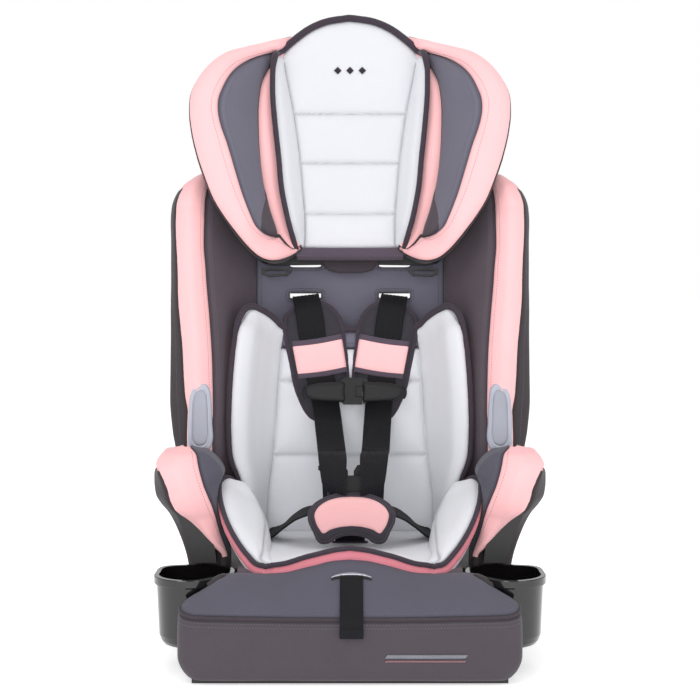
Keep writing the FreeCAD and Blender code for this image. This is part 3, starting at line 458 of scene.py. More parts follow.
def cushion(name, outline, axis, place, high, low, mats, wide, rings=16, edge=0.5,
            band=None, body=None):
    """A pad from its outline: rings run from an axis inside it out to the outline.

    place(a, b, h) gives millimetres; past the share `band` the second material is used."""
    outline = np.asarray(outline, float)
    start, end = [np.asarray(a, float) for a in axis]
    span = end - start
    t = np.clip((outline - start) @ span / (span @ span), 0, 1)
    core = start + t[:, None] * span
    reach = np.linalg.norm(outline - core, axis=1)
    count = len(outline)
    shares = np.r_[0.0, np.linspace(0.12, 1, rings)]
    top, bottom = [], []
    for k in shares:
        p = core + (outline - core) * k
        rise = dome((1 - k) * reach, wide)
        top.append(place(p[:, 0], p[:, 1], edge + (high - edge) * rise))
        bottom.append(place(p[:, 0], p[:, 1], -low * rise))
    n = len(shares)
    faces = ring_faces(n, count)
    faces += [f[::-1] for f in ring_faces(n, count, n * count)]
    a = (n - 1) * count
    b = n * count + a
    faces += [(a + j, a + (j + 1) % count, b + (j + 1) % count, b + j) for j in range(count)]
    slots = None
    if band is not None:
        face = np.repeat(shares[1:] > band, count).astype(int)
        slots = np.r_[face, face, np.ones(count, int)]
    return make(name, np.vstack(top + bottom), faces, mats, slots, merge=0.01, body=body)


def tube(name, path, r, mat, body, closed=False, seg=10, ripple=0.0):
    """A round cord along a path; r is one radius or one per point."""
    path = np.asarray(path, float)
    tangent = unit(np.gradient(path, axis=0), 1e-12)
    hint = np.array((0.13, -0.7, 0.7))
    u = unit(hint - tangent[0] * (hint @ tangent[0]), 0)
    up = [u]
    for t in tangent[1:]:
        u = up[-1] - t * (up[-1] @ t)
        up.append(unit(u, 1e-12))
    up = np.array(up)
    across = np.cross(tangent, up)
    a = np.linspace(0, 2 * math.pi, seg, endpoint=False)
    n = len(path)
    s = lengths(path)
    radius = (r * np.ones(n) * (1 + ripple * pucker(s, 3)))[:, None, None]
    ring = (np.cos(a)[None, :, None] * up[:, None] * radius
            + np.sin(a)[None, :, None] * across[:, None] * radius)
    points = (path[:, None] + ring).reshape(-1, 3)
    faces = ring_faces(n, seg)
    last = (n - 1) * seg
    if closed:
        faces += [(last + j, last + (j + 1) % seg, (j + 1) % seg, j) for j in range(seg)]
    else:
        faces += [tuple(range(seg)), tuple(last + j for j in range(seg))]
    girth = np.arange(seg) / seg * ROUND_TURN * float(np.mean(r))
    uv = np.stack([np.repeat(s, seg), np.tile(girth, n)], -1)
    return make(name, points, faces, [mat], uv=uv * MM, body=body)


def strap(name, path, wide, thick, side=(1.0, 0, 0), body=None):
    """Webbing along a path: a flat ribbed section with raised edges, its width along side."""
    path = np.asarray(path, float)
    side = np.asarray(side, float)
    tangent = unit(np.gradient(path, axis=0), 1e-12)
    across = unit(side - tangent * np.sum(side * tangent, axis=1, keepdims=True), 1e-12)
    up = np.cross(tangent, across)
    m = 40
    u = np.linspace(-1, 1, m)
    rib = 0.16 * np.cos(u * math.pi * 7)
    raised = 0.35 * np.exp(-((np.abs(u) - 0.93) / 0.05)**2)
    h = thick / 2 + rib * (np.abs(u) < 0.9) + raised
    h = h * np.sqrt(np.clip(1 - np.abs(u)**40, 0, 1)) + 0.05
    section = np.vstack([np.stack([u * wide / 2, h], -1),
                         np.stack([u[::-1] * wide / 2, -h[::-1]], -1)])
    k = len(section)
    points = (path[:, None] + across[:, None] * section[None, :, :1]
              + up[:, None] * section[None, :, 1:])
    faces = ring_faces(len(path), k)
    for o in (0, (len(path) - 1) * k):
        faces += [(o + j, o + j + 1, o + k - 2 - j, o + k - 1 - j) for j in range(m - 1)]
    uv = np.stack([np.tile(section[:, 0], len(path)), np.repeat(lengths(path), k)], -1) * MM
    return make(name, points.reshape(-1, 3), faces, [WEB], uv=uv, body=body)


STITCH_PITCH, STITCH_LENGTH, STITCH_LIFT = 3.6, 2.3, 0.15


def stitches(name, path, normal, mat, body, r):
    """Thread: a row of small stitches lying on a surface."""
    path = np.asarray(path, float)
    s = lengths(path)
    normal = np.broadcast_to(np.asarray(normal, float), path.shape)

    def sample(values, at):
        return np.array([np.interp(at, s, values[:, k]) for k in range(3)])
    points, faces = [], []
    ring = [(math.cos(a), math.sin(a)) for a in np.linspace(0, 2 * math.pi, 6, endpoint=False)]
    for i in range(int(s[-1] / STITCH_PITCH)):
        at = (i + 0.5) * STITCH_PITCH
        p0, p1 = [sample(path, at + e * STITCH_LENGTH / 2) for e in (-1, 1)]
        up = unit(sample(normal, at))
        t = unit(p1 - p0)
        w = np.cross(t, up)
        o = len(points)
        # four rings: (place along the stitch, share of the radius)
        for e, share in ((-0.5, 0.45), (-0.3, 1), (0.3, 1), (0.5, 0.45)):
            lift = STITCH_LIFT - r * 0.8 * abs(e) * 1.4
            c = (p0 + p1) / 2 + t * e * STITCH_LENGTH + up * lift
            points += [c + (w * cos + up * sin) * r * share for cos, sin in ring]
        faces += ring_faces(4, 6, o)
        faces += [tuple(o + j for j in range(6)), tuple(o + 18 + j for j in range(6))]
    return make(name, np.array(points), faces, [mat], body=body)


def stitches_on(name, skin, normal, where, mat, body, r=0.34):
    return stitches(name, skin[where], normal[where], mat, body, r)


def cord_on(name, skin, normal, where, lift, r, mat, body):
    return tube(name, skin[where] + normal[where] * lift, r, mat, body)


def material(name):
    """An empty material: itself, its node tree and its Principled node."""
    m = bpy.data.materials.new(name)
    m.use_nodes = True
    return m, m.node_tree, m.node_tree.nodes["Principled BSDF"]


def fill(tree, node, sockets):
    """Set a node's inputs: a socket is linked, anything else is a value."""
    for key, value in sockets.items():
        if isinstance(value, bpy.types.NodeSocket):
            tree.links.new(value, node.inputs[key])
        else:
            node.inputs[key].default_value = value


def add(tree, kind, sockets={}, **settings):
    """Add a shader node and return its outputs."""
    node = tree.nodes.new("ShaderNode" + kind)
    for key, value in settings.items():
        setattr(node, key, value)
    fill(tree, node, sockets)
    return node.outputs


def noise(tree, place, scale, detail=2.0):
    return add(tree, "TexNoise", {"Scale": scale, "Detail": detail, "Vector": place})["Fac"]


def calc(tree, operation, *values):
    return add(tree, "Math", dict(enumerate(values)), operation=operation)[0]


def mix(tree, a, b, factor, **settings):
    return add(tree, "Mix", {"A": a, "B": b, "Factor": factor},
               data_type="RGBA", **settings)["Result"]


def bump(tree, height, strength, distance, **normal):
    return add(tree, "Bump", {"Strength": strength, "Distance": distance, "Height": height,
                              **normal})["Normal"]


def linear(rgb):
    c = np.asarray(rgb, float) / 255.0
    curved = np.where(c <= 0.04045, c / 12.92, ((c + 0.055) / 1.055)**2.4)
    return tuple(float(v) for v in curved)


def scaled(colour, factor):
    return tuple(min(1, v * factor) for v in colour) + (1,)


def fabric(name, rgb, cell=0.9, mottle=0.10, sheen=0.35, strength=0.35, knit=True,
           seam=0.55):
    """Cloth: knit cells `cell` mm wide, soft mottling, sheen, and painted shade that darkens
    the seams, down to `seam` on a seam.
    """
    m, tree, bsdf = material(name)
    place = add(tree, "TexCoord")["Object"]
    cells = add(tree, "TexVoronoi", {"Scale": 1000.0 / cell,
                                     "Randomness": 0.25 if knit else 0.8,
                                     "Vector": place})["Distance"]
    patches = noise(tree, place, scale=28.0, detail=5.0)
    fine = noise(tree, place, scale=700.0, detail=3.0)
    # patches, fibres and cells together run between a dark and a light tone
    weave = calc(tree, "ADD", fine, calc(tree, "MULTIPLY", cells, -0.35))
    amount = calc(tree, "MULTIPLY_ADD", patches, 0.45, calc(tree, "MULTIPLY", weave, 0.8))
    colour = linear(rgb)
    cloth = mix(tree, scaled(colour, 1 - 2.2 * mottle), scaled(colour, 1 + mottle), amount)
    # painted shade: darken the colour towards the seams by the per-point seam shade
    seam_shade = add(tree, "Attribute", attribute_name="seam")["Fac"]
    shade = add(tree, "MapRange", {"From Min": 0.0, "From Max": 1.0, "To Min": seam,
                                   "To Max": 1.0, "Value": seam_shade})["Result"]
    grey = add(tree, "CombineColor", {k: shade for k in ("Red", "Green", "Blue")})["Color"]
    small = bump(tree, cells, strength=strength, distance=0.0004)
    soft = noise(tree, place, scale=90.0, detail=3.0)
    fill(tree, bsdf, {
        "Base Color": mix(tree, cloth, grey, 1.0, blend_type="MULTIPLY"),
        "Normal": bump(tree, soft, strength=0.25, distance=0.0012, Normal=small),
        "Roughness": 0.85,
        "Sheen Weight": sheen,
        "Sheen Roughness": 0.45,
        "Sheen Tint": tuple(0.5 + 0.5 * c for c in colour) + (1,),
        "Specular IOR Level": 0.25})
    return m


def thread(name, rgb):
    return fabric(name, rgb, cell=0.4, mottle=0.05, strength=0.3, knit=False)


def woven(name, rgb):
    """Webbing: slanted yarns in rows, laid by the strap's own width and length."""
    m, tree, bsdf = material(name)
    place = add(tree, "TexCoord")
    yarns = add(tree, "TexWave", {"Scale": 1000.0 / ROUND_TURN, "Distortion": 0.3,
                                  "Vector": place["UV"]},
                wave_type="BANDS", bands_direction="DIAGONAL")["Fac"]
    patches = calc(tree, "MULTIPLY", noise(tree, place["Object"], scale=60.0), 0.3)
    amount = calc(tree, "MULTIPLY_ADD", yarns, 0.7, patches)
    colour = linear(rgb)
    fill(tree, bsdf, {
        "Base Color": mix(tree, scaled(colour, 0.45), scaled(colour, 1.35), amount),
        "Normal": bump(tree, yarns, strength=0.6, distance=0.0004),
        "Roughness": 0.65,
        "Sheen Weight": 0.03,
        "Specular IOR Level": 0.15})
    return m


def plastic(name, rgb, rough=0.42, grain=0.25, size=900.0, coat=0.0, metal=0.0,
            spec=0.5):
    """Plastic or metal: fine grain, with faint patches in colour and roughness."""
    m, tree, bsdf = material(name)
    place = add(tree, "TexCoord")["Object"]
    grains = noise(tree, place, scale=size, detail=4.0)
    patches = noise(tree, place, scale=22.0, detail=4.0)
    colour = linear(rgb)
    fill(tree, bsdf, {
        "Normal": bump(tree, grains, strength=grain, distance=0.0003),
        "Base Color": mix(tree, scaled(colour, 0.86), scaled(colour, 1.1), patches),
        "Roughness": add(tree, "MapRange", {"To Min": max(0.02, rough - 0.06),
                                            "To Max": rough + 0.08,
                                            "Value": patches})["Result"],
        "Coat Weight": coat,
        "Metallic": metal,
        "Specular IOR Level": spec})
    return m


PINK = fabric("cloth_pink", (247, 189, 191),
              cell=0.8, mottle=0.035, sheen=0.3, strength=0.2, seam=0.78)
# the pink cloth of the gussets and bolster undersides, painted darker and more saturated as
# their shade
PINK_SHADED = fabric("cloth_pink_shaded", (208, 126, 138),
                   mottle=0.05, sheen=0.2, strength=0.3)
SLATE = fabric("cloth_slate", (106, 104, 118), mottle=0.06, sheen=0.3)
PAD_TOP = fabric("cloth_pad_top", (84, 83, 95), mottle=0.06, sheen=0.22)
PAD_FRONT = fabric("cloth_pad_front", (76, 69, 76),
                   cell=1.1, sheen=0.22, strength=0.5)
CHARCOAL = fabric("cloth_charcoal", (88, 78, 86),
                  cell=1.1, sheen=0.28, strength=0.5)
DARK = fabric("cloth_dark", (62, 57, 60),
              cell=1.1, sheen=0.25, strength=0.5)
PANEL = fabric("cloth_panel_dark", (78, 70, 78),
               cell=1.0, mottle=0.08, sheen=0.28)
LIGHT = fabric("cloth_insert", (211, 212, 217),
               mottle=0.025, sheen=0.25, strength=0.2, seam=0.80)
PIPING = fabric("cloth_piping", (84, 73, 86),
                cell=0.8, mottle=0.12, sheen=0.3, strength=0.6, knit=False)
PAD = fabric("cloth_pad", (72, 69, 78), sheen=0.3, strength=0.45)
WEB = woven("webbing_black", (22, 22, 25))
THREAD_DARK = thread("thread_dark", (66, 60, 70))
THREAD_GREY = thread("thread_grey", (128, 124, 136))
THREAD_PINK = thread("thread_pink", (214, 158, 168))
THREAD_LIGHT = thread("thread_light", (200, 202, 214))
MOULD = plastic("plastic_black", (34, 33, 35), rough=0.5, grain=0.5)
GLOSS = plastic("plastic_gloss", (16, 14, 15),
                rough=0.09, grain=0.03, coat=0.4)
CLIP = plastic("plastic_clip", (24, 24, 26), rough=0.5, grain=0.3, spec=0.28)
GUIDE = plastic("plastic_guide", (176, 179, 192), rough=0.35, grain=0.2)
GUIDE_FACE = plastic("plastic_guide_face", (150, 152, 164), grain=0.4)
BEZEL = plastic("plastic_bezel", (150, 149, 158),
                rough=0.2, grain=0.05, metal=0.6)
RED = plastic("plastic_red", (196, 30, 34), rough=0.35, grain=0.1)
STEEL = plastic("steel", (176, 178, 182), rough=0.28, grain=0.08, metal=1.0)
FOAM = plastic("foam_white", (232, 232, 228),
               rough=0.85, grain=0.8, size=350.0, spec=0.2)

# ---------------------------------------------------------------- head wings
# Lines down the left wing (x, depth, height), the last stretch turning in at the bottom.
WING_EDGE = ([(-34, -24, 638), (-52, -28, 633), (-69.7, -34, 628.7), (-104.3, -55.1, 611),
              (-133.4, -73.9, 599), (-162.5, -92, 585.3), (-177.8, -102.9, 570.9),
              (-192.8, -110.1, 550), (-202, -111.5, 529.1), (-203.5, -112, 508.3),
              (-200.8, -112.5, 481.1), (-194.3, -113, 452.7), (-182.8, -113, 418.5),
              (-173.6, -111.8, 395.9), (-160, -110.1, 373.2), (-148.1, -108.7, 356.1),
              (-137.6, -104.6, 342.6), (-126.5, -98, 330.7), (-121, -95.5, 326)],
             [(-121, -95.5, 326), (-115.5, -92.7, 322.2), (-108.5, -89, 319.5),
              (-101, -85, 318.5), (-93, -79, 320), (-86, -71, 323.5), (-79, -62, 329),
              (-70, -54, 336), (-62, -46, 342)])
WING_PANEL = [(-40, -27, 626), (-60, -33, 619), (-82.7, -42, 610.1), (-97.5, -52, 599.7),
              (-113.4, -61.8, 592.9), (-133.3, -79.6, 580.2), (-150.4, -100, 561.1),
              (-160.5, -115, 539.3), (-166.6, -119.4, 520.4), (-167, -120.6, 506.6),
              (-163.4, -121, 488.1), (-155.4, -121.5, 465.2), (-145, -120.3, 430.8),
              (-134, -114.8, 395.5), (-125.5, -111.5, 374), (-119, -105, 360.5),
              (-110.5, -94, 353), (-101.5, -79, 351), (-94.2, -64, 353)]
WING_CREASE = ([(-46, -27, 620), (-66, -34, 613), (-84, -42, 606), (-92, -46.9, 600),
                (-99.4, -50.9, 591.6), (-104.4, -53.8, 578.4), (-113.3, -60.4, 557.8),
                (-117.7, -62.7, 528.8), (-118.1, -65.1, 497.8), (-116, -67.9, 461.9),
                (-110.2, -65.2, 415.7), (-100.9, -63, 381.1), (-93, -61, 356)],
               [(-93, -61, 356), (-88.5, -59, 349), (-83, -57, 342), (-77, -54, 337),
                (-72, -50, 336), (-66, -45, 338)])
WING_INNER = ([(-46, -25, 616), (-66, -31, 611), (-84, -36, 603), (-90, -38, 596),
               (-92, -40, 579.4), (-92, -42, 558.8), (-88, -43, 513), (-81, -43, 463.7),
               (-75, -43, 411.2), (-70, -43, 370), (-68, -43, 354)],
              [(-68, -43, 354), (-66, -43, 348), (-64, -42, 342), (-62, -41, 340),
               (-60, -40, 340)])
# (height, x) of the line where the panel's two cloths meet
PANEL_LOW, PANEL_HIGH = 371, 556
PANEL_SPLIT = graph([(PANEL_LOW, -116.6), (388.1, -112.2), (412, -109.9), (449.3, -112.2),
                     (495, -114.6), (526.1, -116.3), (PANEL_HIGH, -114)])


def panel_split(crease_line, panel_line, long_rows):
    """The line across the wing panel where its two cloths meet."""
    share = np.zeros(len(crease_line))
    for i, (c, p) in enumerate(zip(crease_line, panel_line)):
        f = 0.5
        for _ in range(6):
            v = c[2] + (p[2] - c[2]) * f
            w = p[0] - c[0]
            f = np.clip((PANEL_SPLIT(v) - c[0]) / (w if abs(w) > 1 else -1), 0.03, 0.97)
        if v > PANEL_HIGH:
            f = 0.03
        if v < PANEL_LOW or i >= long_rows - 6:
            f = 0.97
        share[i] = f
    share = np.convolve(np.r_[[share[0]] * 4, share, [share[-1]] * 4], np.ones(9) / 9, "valid")
    line = crease_line + (panel_line - crease_line) * share[:, None]
    line[:, 1] += 2.0 * np.sin(np.pi * share)
    return line


def head_wing():
    long_rows, turn_rows = 134, 22
    rows = long_rows + turn_rows - 1
    out = (0.3, -1, 0.1)

    def set_back(line):
        """Move the top inner corner of a line to the rear."""
        line[:, 1] += 11 * smooth((line[:, 0] + 100) / 24) * smooth((line[:, 2] - 575) / 22)
        return line

    def whole(table):
        return set_back(np.vstack([curve(table[0], long_rows), curve(table[1], turn_rows)[1:]]))
    edge, fold, inner = whole(WING_EDGE), whole(WING_CREASE), whole(WING_INNER)
    tail = fold[long_rows:] + (edge[long_rows:] - fold[long_rows:]) * 0.05
    panel = np.vstack([set_back(curve(WING_PANEL, long_rows)), tail])
    split = panel_split(fold, panel, long_rows)
    side, rear = edge + np.array([-0.8, 6.5, 0]), edge + np.array([3.5, 17.0, 0])
    t = np.linspace(0, 1, rows)
    columns, slots, marks = loft(
        [inner, fold, split, panel, edge, side, rear],
        [(10, 0), (9, 2), (14, 1), (20, 0), (4, 3), (4, 3)],
        bows=[1.5, 0.5, 0.5, 5.0 * smooth(t * 7), 0, 0])
    at_fold, at_split, at_panel, at_edge = marks[1:5]
    skin = lean(np.stack(columns, 1))
    normal = normals(skin, out)
    u, stops = np.arange(skin.shape[1]), (at_fold, at_panel, at_edge)
    high = np.tile(stepped(u, stops, (6.5, 3.5, 7.5, 1.0)), (rows, 1))
    panel_width = np.linalg.norm(panel - fold, axis=1)
    high[:, at_fold:at_panel] *= np.clip(panel_width / 18, 0, 1)[:, None]
    fade = (smooth(t * 7) * smooth((1 - t) * 14 + 0.35))[:, None]
    puffed, d = puff(skin, normal, [skin[:, k] for k in (0, at_fold, at_panel, at_edge)],
                     high * fade, stepped(u, stops, (11.0, 15.0, 19.0, 6.0)),
                     groove=1.1, wrinkle=0.25, seed=4, loose=0.25)
    puffed, d = crease(puffed, skin, normal, skin[30:110, at_split], d, depth=0.7, width=1.3)
    cell = np.tile(slots, (rows - 1, 1))
    cell[long_rows - 2:, at_fold:at_panel] = 0
    cover = slab("head_wing_left_cover", puffed, 3.5, [PINK, SLATE, PANEL, DARK], cell, out,
                 seam_shade_of(d), body="headrest")
    normal = normals(puffed, out)
    both_sides([
        cover,
        cord_on("head_wing_left_edging", puffed, normal, np.s_[14:rows - 4, at_edge],
                0.2, 1.6, DARK, "headrest"),
        stitches_on("head_wing_left_stitch_outer", puffed, normal,
                    np.s_[14:rows - 12, at_panel + 5], THREAD_PINK, "headrest"),
        stitches_on("head_wing_left_stitch_inner", puffed, normal,
                    np.s_[16:rows - 16, at_panel - 2], THREAD_GREY, "headrest", r=0.3),
    ], "headrest", "head_wing_left")


# -------------------------------------------------------------------- pillow
# (x, height) of the left edge, the left half of the top edge and the left seam
PILLOW_SIDE = [(-68, 338), (-72, 352), (-79, 378), (-85.5, 410), (-91, 462), (-96, 511),
               (-98.4, 550), (-97.5, 577), (-94.0, 597)]
PILLOW_TOP = [(-94.0, 597), (-84, 607.5), (-71, 619), (-53, 632), (-34, 640.5), (0, 646.5)]
PILLOW_SEAM = [(-91, 596), (-86.5, 575), (-76, 529), (-72.6, 510), (-66, 463), (-61, 405),
               (-59.4, 385), (-59.9, 330)]
PILLOW_CROSS_SEAMS = (518.8, 453.5, 386.6)
# (height, depth) of the rows of the band below the pillow
PILLOW_BAND = ((341.5, -44.5), (339, -47.5), (333, -48.5), (328, -46.5), (325.5, -42.0))
FLAP = [(-37.5, 330), (-36, 324), (-30, 316), (-20, 312.5), (0, 311.5), (20, 312.5),
        (30, 316), (36, 324), (37.5, 330)]
FLAP_TOP = [(37.5, 330), (0, 331), (-37.5, 330)]
MOTIF_HEIGHT, MOTIF_HALF, MOTIF_THICK = 575, 5.0, 1.0


def head_pillow():
    rows, cols = 120, 101
    left = curve(PILLOW_SIDE, rows)
    top = mirror_line(curve(PILLOW_TOP, (cols + 1) // 2))
    bottom = np.stack([np.linspace(-67.5, 67.5, cols), np.full(cols, 338.0)], -1)
    flat = coons(bottom, top, left, left * [-1, 1])
    x, v = flat[..., 0], flat[..., 1]

    def half_width(height, table):
        table = sorted(table, key=lambda p: p[1])
        return np.interp(height, [p[1] for p in table], [-p[0] for p in table])
    seam_x = half_width(v, PILLOW_SEAM)
    edge_x = np.where(v > 600, half_width(v, PILLOW_TOP) + 14, half_width(v, PILLOW_SIDE))
    side = np.clip((np.abs(x) - seam_x) / np.maximum(edge_x - seam_x, 4), 0, 1.1)
    rise = 29 * smooth((v - 320) / 50) * smooth((642 - v) / 75)
    skin = back(x, -40 - rise * side**1.3 - (1 - (x / 70)**2).clip(0, 1), v)
    seams = [curve(crossing(skin, x * sign - seam_x, 1)[:-9:3], 90) for sign in (1, -1)]
    for height in PILLOW_CROSS_SEAMS:
        line = crossing(skin, v - height, 0)
        line = line[np.abs(line[:, 0]) < half_width(height, PILLOW_SEAM) + 1]
        seams.append(curve(line[::2], 60))
    middle = np.abs(x) < seam_x
    puffed, _ = puff(skin, normals(skin), seams, np.where(middle, 7.0, 6.0),
                     np.where(middle, 22.0, 14.0), groove=1.3, wrinkle=0.3, seed=8,
                     loose=0.35, border=[skin[:, 0], skin[:, -1], skin[0], skin[-1]])
    thick = 5 + 10 * smooth((v - 622) / 18) * smooth((60 - np.abs(x)) / 20)
    pillow = slab("head_pillow", puffed, thick, [LIGHT, PIPING],
                  seam_shade=seam_shade_of(near(skin, seams)[0], 2.0), body="headrest")
    loop = np.vstack([puffed[:, 0], puffed[-1, 1:], puffed[::-1, -1][1:]])
    loop = curve(loop[::4], 330)
    upper = smooth(((loop[:, 2] - BACK_Z) / LEAN_COS - 575) / 40)
    loop = loop + outward(loop) * 0.8
    loop[:, 1] -= 2.2 + 2.0 * upper
    tube("head_pillow_piping", loop, 3.5 + 1.0 * upper, PIPING, "headrest",
         ripple=0.03, seg=14)
    pillow_band()
    flap = np.vstack([curve(FLAP, 40), curve(FLAP_TOP, 24)[1:-1]])
    cushion("head_pillow_flap", flap, [(-22, 322), (22, 322)],
            lambda a, b, h: back(a, -21.5 - h, b), high=4.0, low=2.0,
            mats=[CHARCOAL, PIPING], wide=6, band=0.86, body="headrest")
    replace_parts(pillow, "head_insert")
    for i, x in enumerate((-16, 0, 16)):
        pillow_motif(i, x, skin, puffed)


def pillow_band():
    """The band under the light panel."""
    x = np.linspace(-70.5, 70.5, 61)
    rows = np.array([stack(x * (1 - 0.02 * (341 - height) / 10),
                           depth - 5.0 * (np.abs(x) / 70)**6, height)
                     for height, depth in PILLOW_BAND])
    band = lean(np.stack([curve(rows[:, j], 14) for j in range(len(x))], 1))
    slab("head_pillow_band", band, 7.0, [PIPING], body="headrest")
    stitches("head_pillow_band_stitch", band[8] + np.array([0, -0.3, 0]), FORWARD,
             THREAD_GREY, "headrest", r=0.3)


def pillow_motif(i, x, skin, puffed):
    """A small raised diamond on the pillow's face."""
    def place(a, b, h):
        k = np.argmin((skin[..., 0] - a)**2 + ((skin[..., 2] - BACK_Z) - b * LEAN_COS - 7)**2)
        depth = (puffed.reshape(-1, 3)[k][1] - back(a, 0, b)[1]) / LEAN_COS
        return back(a, depth, b) - np.array([0, h + 0.2, 0])
    z, r = MOTIF_HEIGHT, MOTIF_HALF
    corners = [(x - r, z), (x, z + r), (x + r, z), (x, z - r)]
    points = [place(a, b, h) for h in (0.0, MOTIF_THICK) for a, b in corners]
    points.append(place(x, z, MOTIF_THICK * 1.6))
    faces = [(0, 1, 2, 3)] + ring_faces(2, 4) + [(4 + k, 4 + (k + 1) % 4, 8) for k in range(4)]
    make("head_pillow_motif_%d" % i, np.array(points), faces, [THREAD_DARK], body="headrest")


# ------------------------------------------------------------- torso bolsters
# Left bolster by height: depth of its front, x of the crown's two seams and of its side.
TORSO_FRONT = graph([(-10, -80), (12, -88), (56, -97), (88, -104), (332, -104), (373, -99),
                     (411, -82), (438, -60)])
TORSO_SEAM_IN = graph([(-10, -173), (115, -173), (124, -172.2), (177, -173.4), (191, -174),
                       (225, -175.9), (265, -179.4), (306, -182.9), (340, -185.5),
                       (379, -185.5), (405, -184.5)])
TORSO_SEAM_OUT = graph([(-10, -204), (93, -205.2), (124, -204.5), (146, -208.2),
                        (177, -210.7), (201, -211.8), (241, -215.7), (274, -218.4),
                        (314, -219.5), (363, -222.3), (391, -222.2), (411, -220)])
TORSO_SIDE = graph([(-10, -211), (12, -212), (79, -219), (103, -223), (143, -226.5),
                    (190, -226.5), (300, -226.5), (347, -227.3), (375, -228), (396, -227),
                    (411, -224)])
TORSO_STRIPS = [(3, 1), (22, 1), (8, 0), (8, 0), (6, 2), (10, 2), (10, 2), (3, 2), (4, 2)]
TORSO_LOW, TORSO_TOP, TORSO_CAP = 8, 386, 52
TORSO_INNER_X = -121.5


def torso_section(height):
    """(x, depth) round the bolster, from its inner edge to its outer one."""
    front = TORSO_FRONT(height)
    seam_in, seam_out = TORSO_SEAM_IN(height), TORSO_SEAM_OUT(height)
    side = TORSO_SIDE(height)
    return [(TORSO_INNER_X, -1.0), (-122.5, -7.0), (seam_in, front + 8.5),
            ((seam_in + seam_out) / 2, front - 1.5), (seam_out, front + 7.5),
            (side, front + 24), (side - 0.2, -30), (side + 0.5, 24.0), (side + 5, 30.5),
            (-214, 29.5)]


def torso_cap(turn):
    """One row of the rounded top, drawn in towards a centre."""
    centre_x, centre_n = -168.0, -28.0
    shrink = math.cos(turn)**0.85
    scale = max(shrink, 0.02)
    height = TORSO_TOP + TORSO_CAP * math.sin(turn)**1.15
    row = []
    for x, n in torso_section(TORSO_TOP):
        n = centre_n + (n - centre_n) * scale
        if x > -125:
            x = TORSO_INNER_X + (-150 - TORSO_INNER_X) * (1 - shrink)
            row.append((x, n, height - 4 * math.sin(turn)))
        else:
            row.append((centre_x + (x - centre_x) * scale, n, height))
    return row


def torso_bolster():
    out = (-0.4, -1, 0)
    heights = np.linspace(TORSO_LOW, TORSO_TOP, 110)
    rows = [[(x, n, v) for x, n in torso_section(v)] for v in heights]
    rows += [torso_cap(turn) for turn in np.linspace(0, math.pi / 2, 26)[1:]]
    columns, slots, marks = loft(np.array(rows).transpose(1, 0, 2), TORSO_STRIPS)
    skin = np.stack(columns, 1)
    bulge(skin, marks[2], marks[4], 3.5)
    skin = lean(skin)
    normal = normals(skin, out)
    u = np.arange(skin.shape[1])
    puffed, d = puff(skin, normal, [skin[:, marks[k]] for k in (1, 2, 4, 7)],
                     stepped(u, [marks[k] for k in (1, 2, 4, 7)], (0.5, 5.0, 4.5, 2.0, 0.5)),
                     np.where(u < marks[2], 26.0, 16.0),
                     groove=1.0, wrinkle=0.3, seed=21, loose=0.4)
    # above this row the crown's cloth also covers the outer side
    cap_row, end = len(heights) + 9, len(heights) + 16
    cell = np.tile(slots, (len(rows) - 1, 1))
    cell[cap_row:, marks[4]:] = 0
    puffed, d = crease(puffed, skin, normal, skin[cap_row, marks[4]:marks[7]], d,
                       depth=0.8, width=1.5)
    parts = [slab("torso_bolster_left_cover", puffed, 7.0, [PINK, CHARCOAL, DARK], cell, out,
                  seam_shade_of(d), body="backrest")]
    normal = normals(puffed, out)
    for tag, where, mat, r in (
            ("pink", np.s_[4:end, marks[2] + 3], THREAD_PINK, 0.34),
            ("grey", np.s_[4:end, marks[2] - 2], THREAD_GREY, 0.34),
            ("side", np.s_[4:end - 8, marks[5] - 3], THREAD_GREY, 0.3)):
        parts.append(stitches_on("torso_bolster_left_stitch_" + tag, puffed, normal, where,
                                 mat, "backrest", r))
    parts.append(cord_on("torso_bolster_left_seam", puffed, normal, np.s_[2:end, marks[4]],
                         0.3, 1.1, DARK, "backrest"))
    both_sides(parts, "backrest", "torso_bolster_left")


# ---------------------------------------------------------------- back panel
BELT_SLOT_HEIGHTS = (284, 325.5, 367)
BELT_SLOT_X, BELT_SLOT_HALF_W, BELT_SLOT_HALF_H = 58.5, 20.5, 4
PANEL_DEPTH = -6.4
# columns left of the middle, and rows; both are closer round the slots
PANEL_X = ([-124.5, -121.0, -116, -110, -104, -98, -92, -86, -82, -79.5, -79.0]
           + list(np.linspace(-76, -41, 12)) + [-38.0, -37.5, -34])
PANEL_ROWS = (list(np.linspace(-14, 270, 70)) + [276, 279.4, 279.9]
              + [c + k for c in BELT_SLOT_HEIGHTS for k in (-4, -2, 0, 2, 4, 4.5, 7.5)]
              + list(np.linspace(298, 314, 5)) + [317.5, 321]
              + list(np.linspace(338, 356, 6)) + [359.5, 362.5]
              + list(np.linspace(378, 425, 16)))


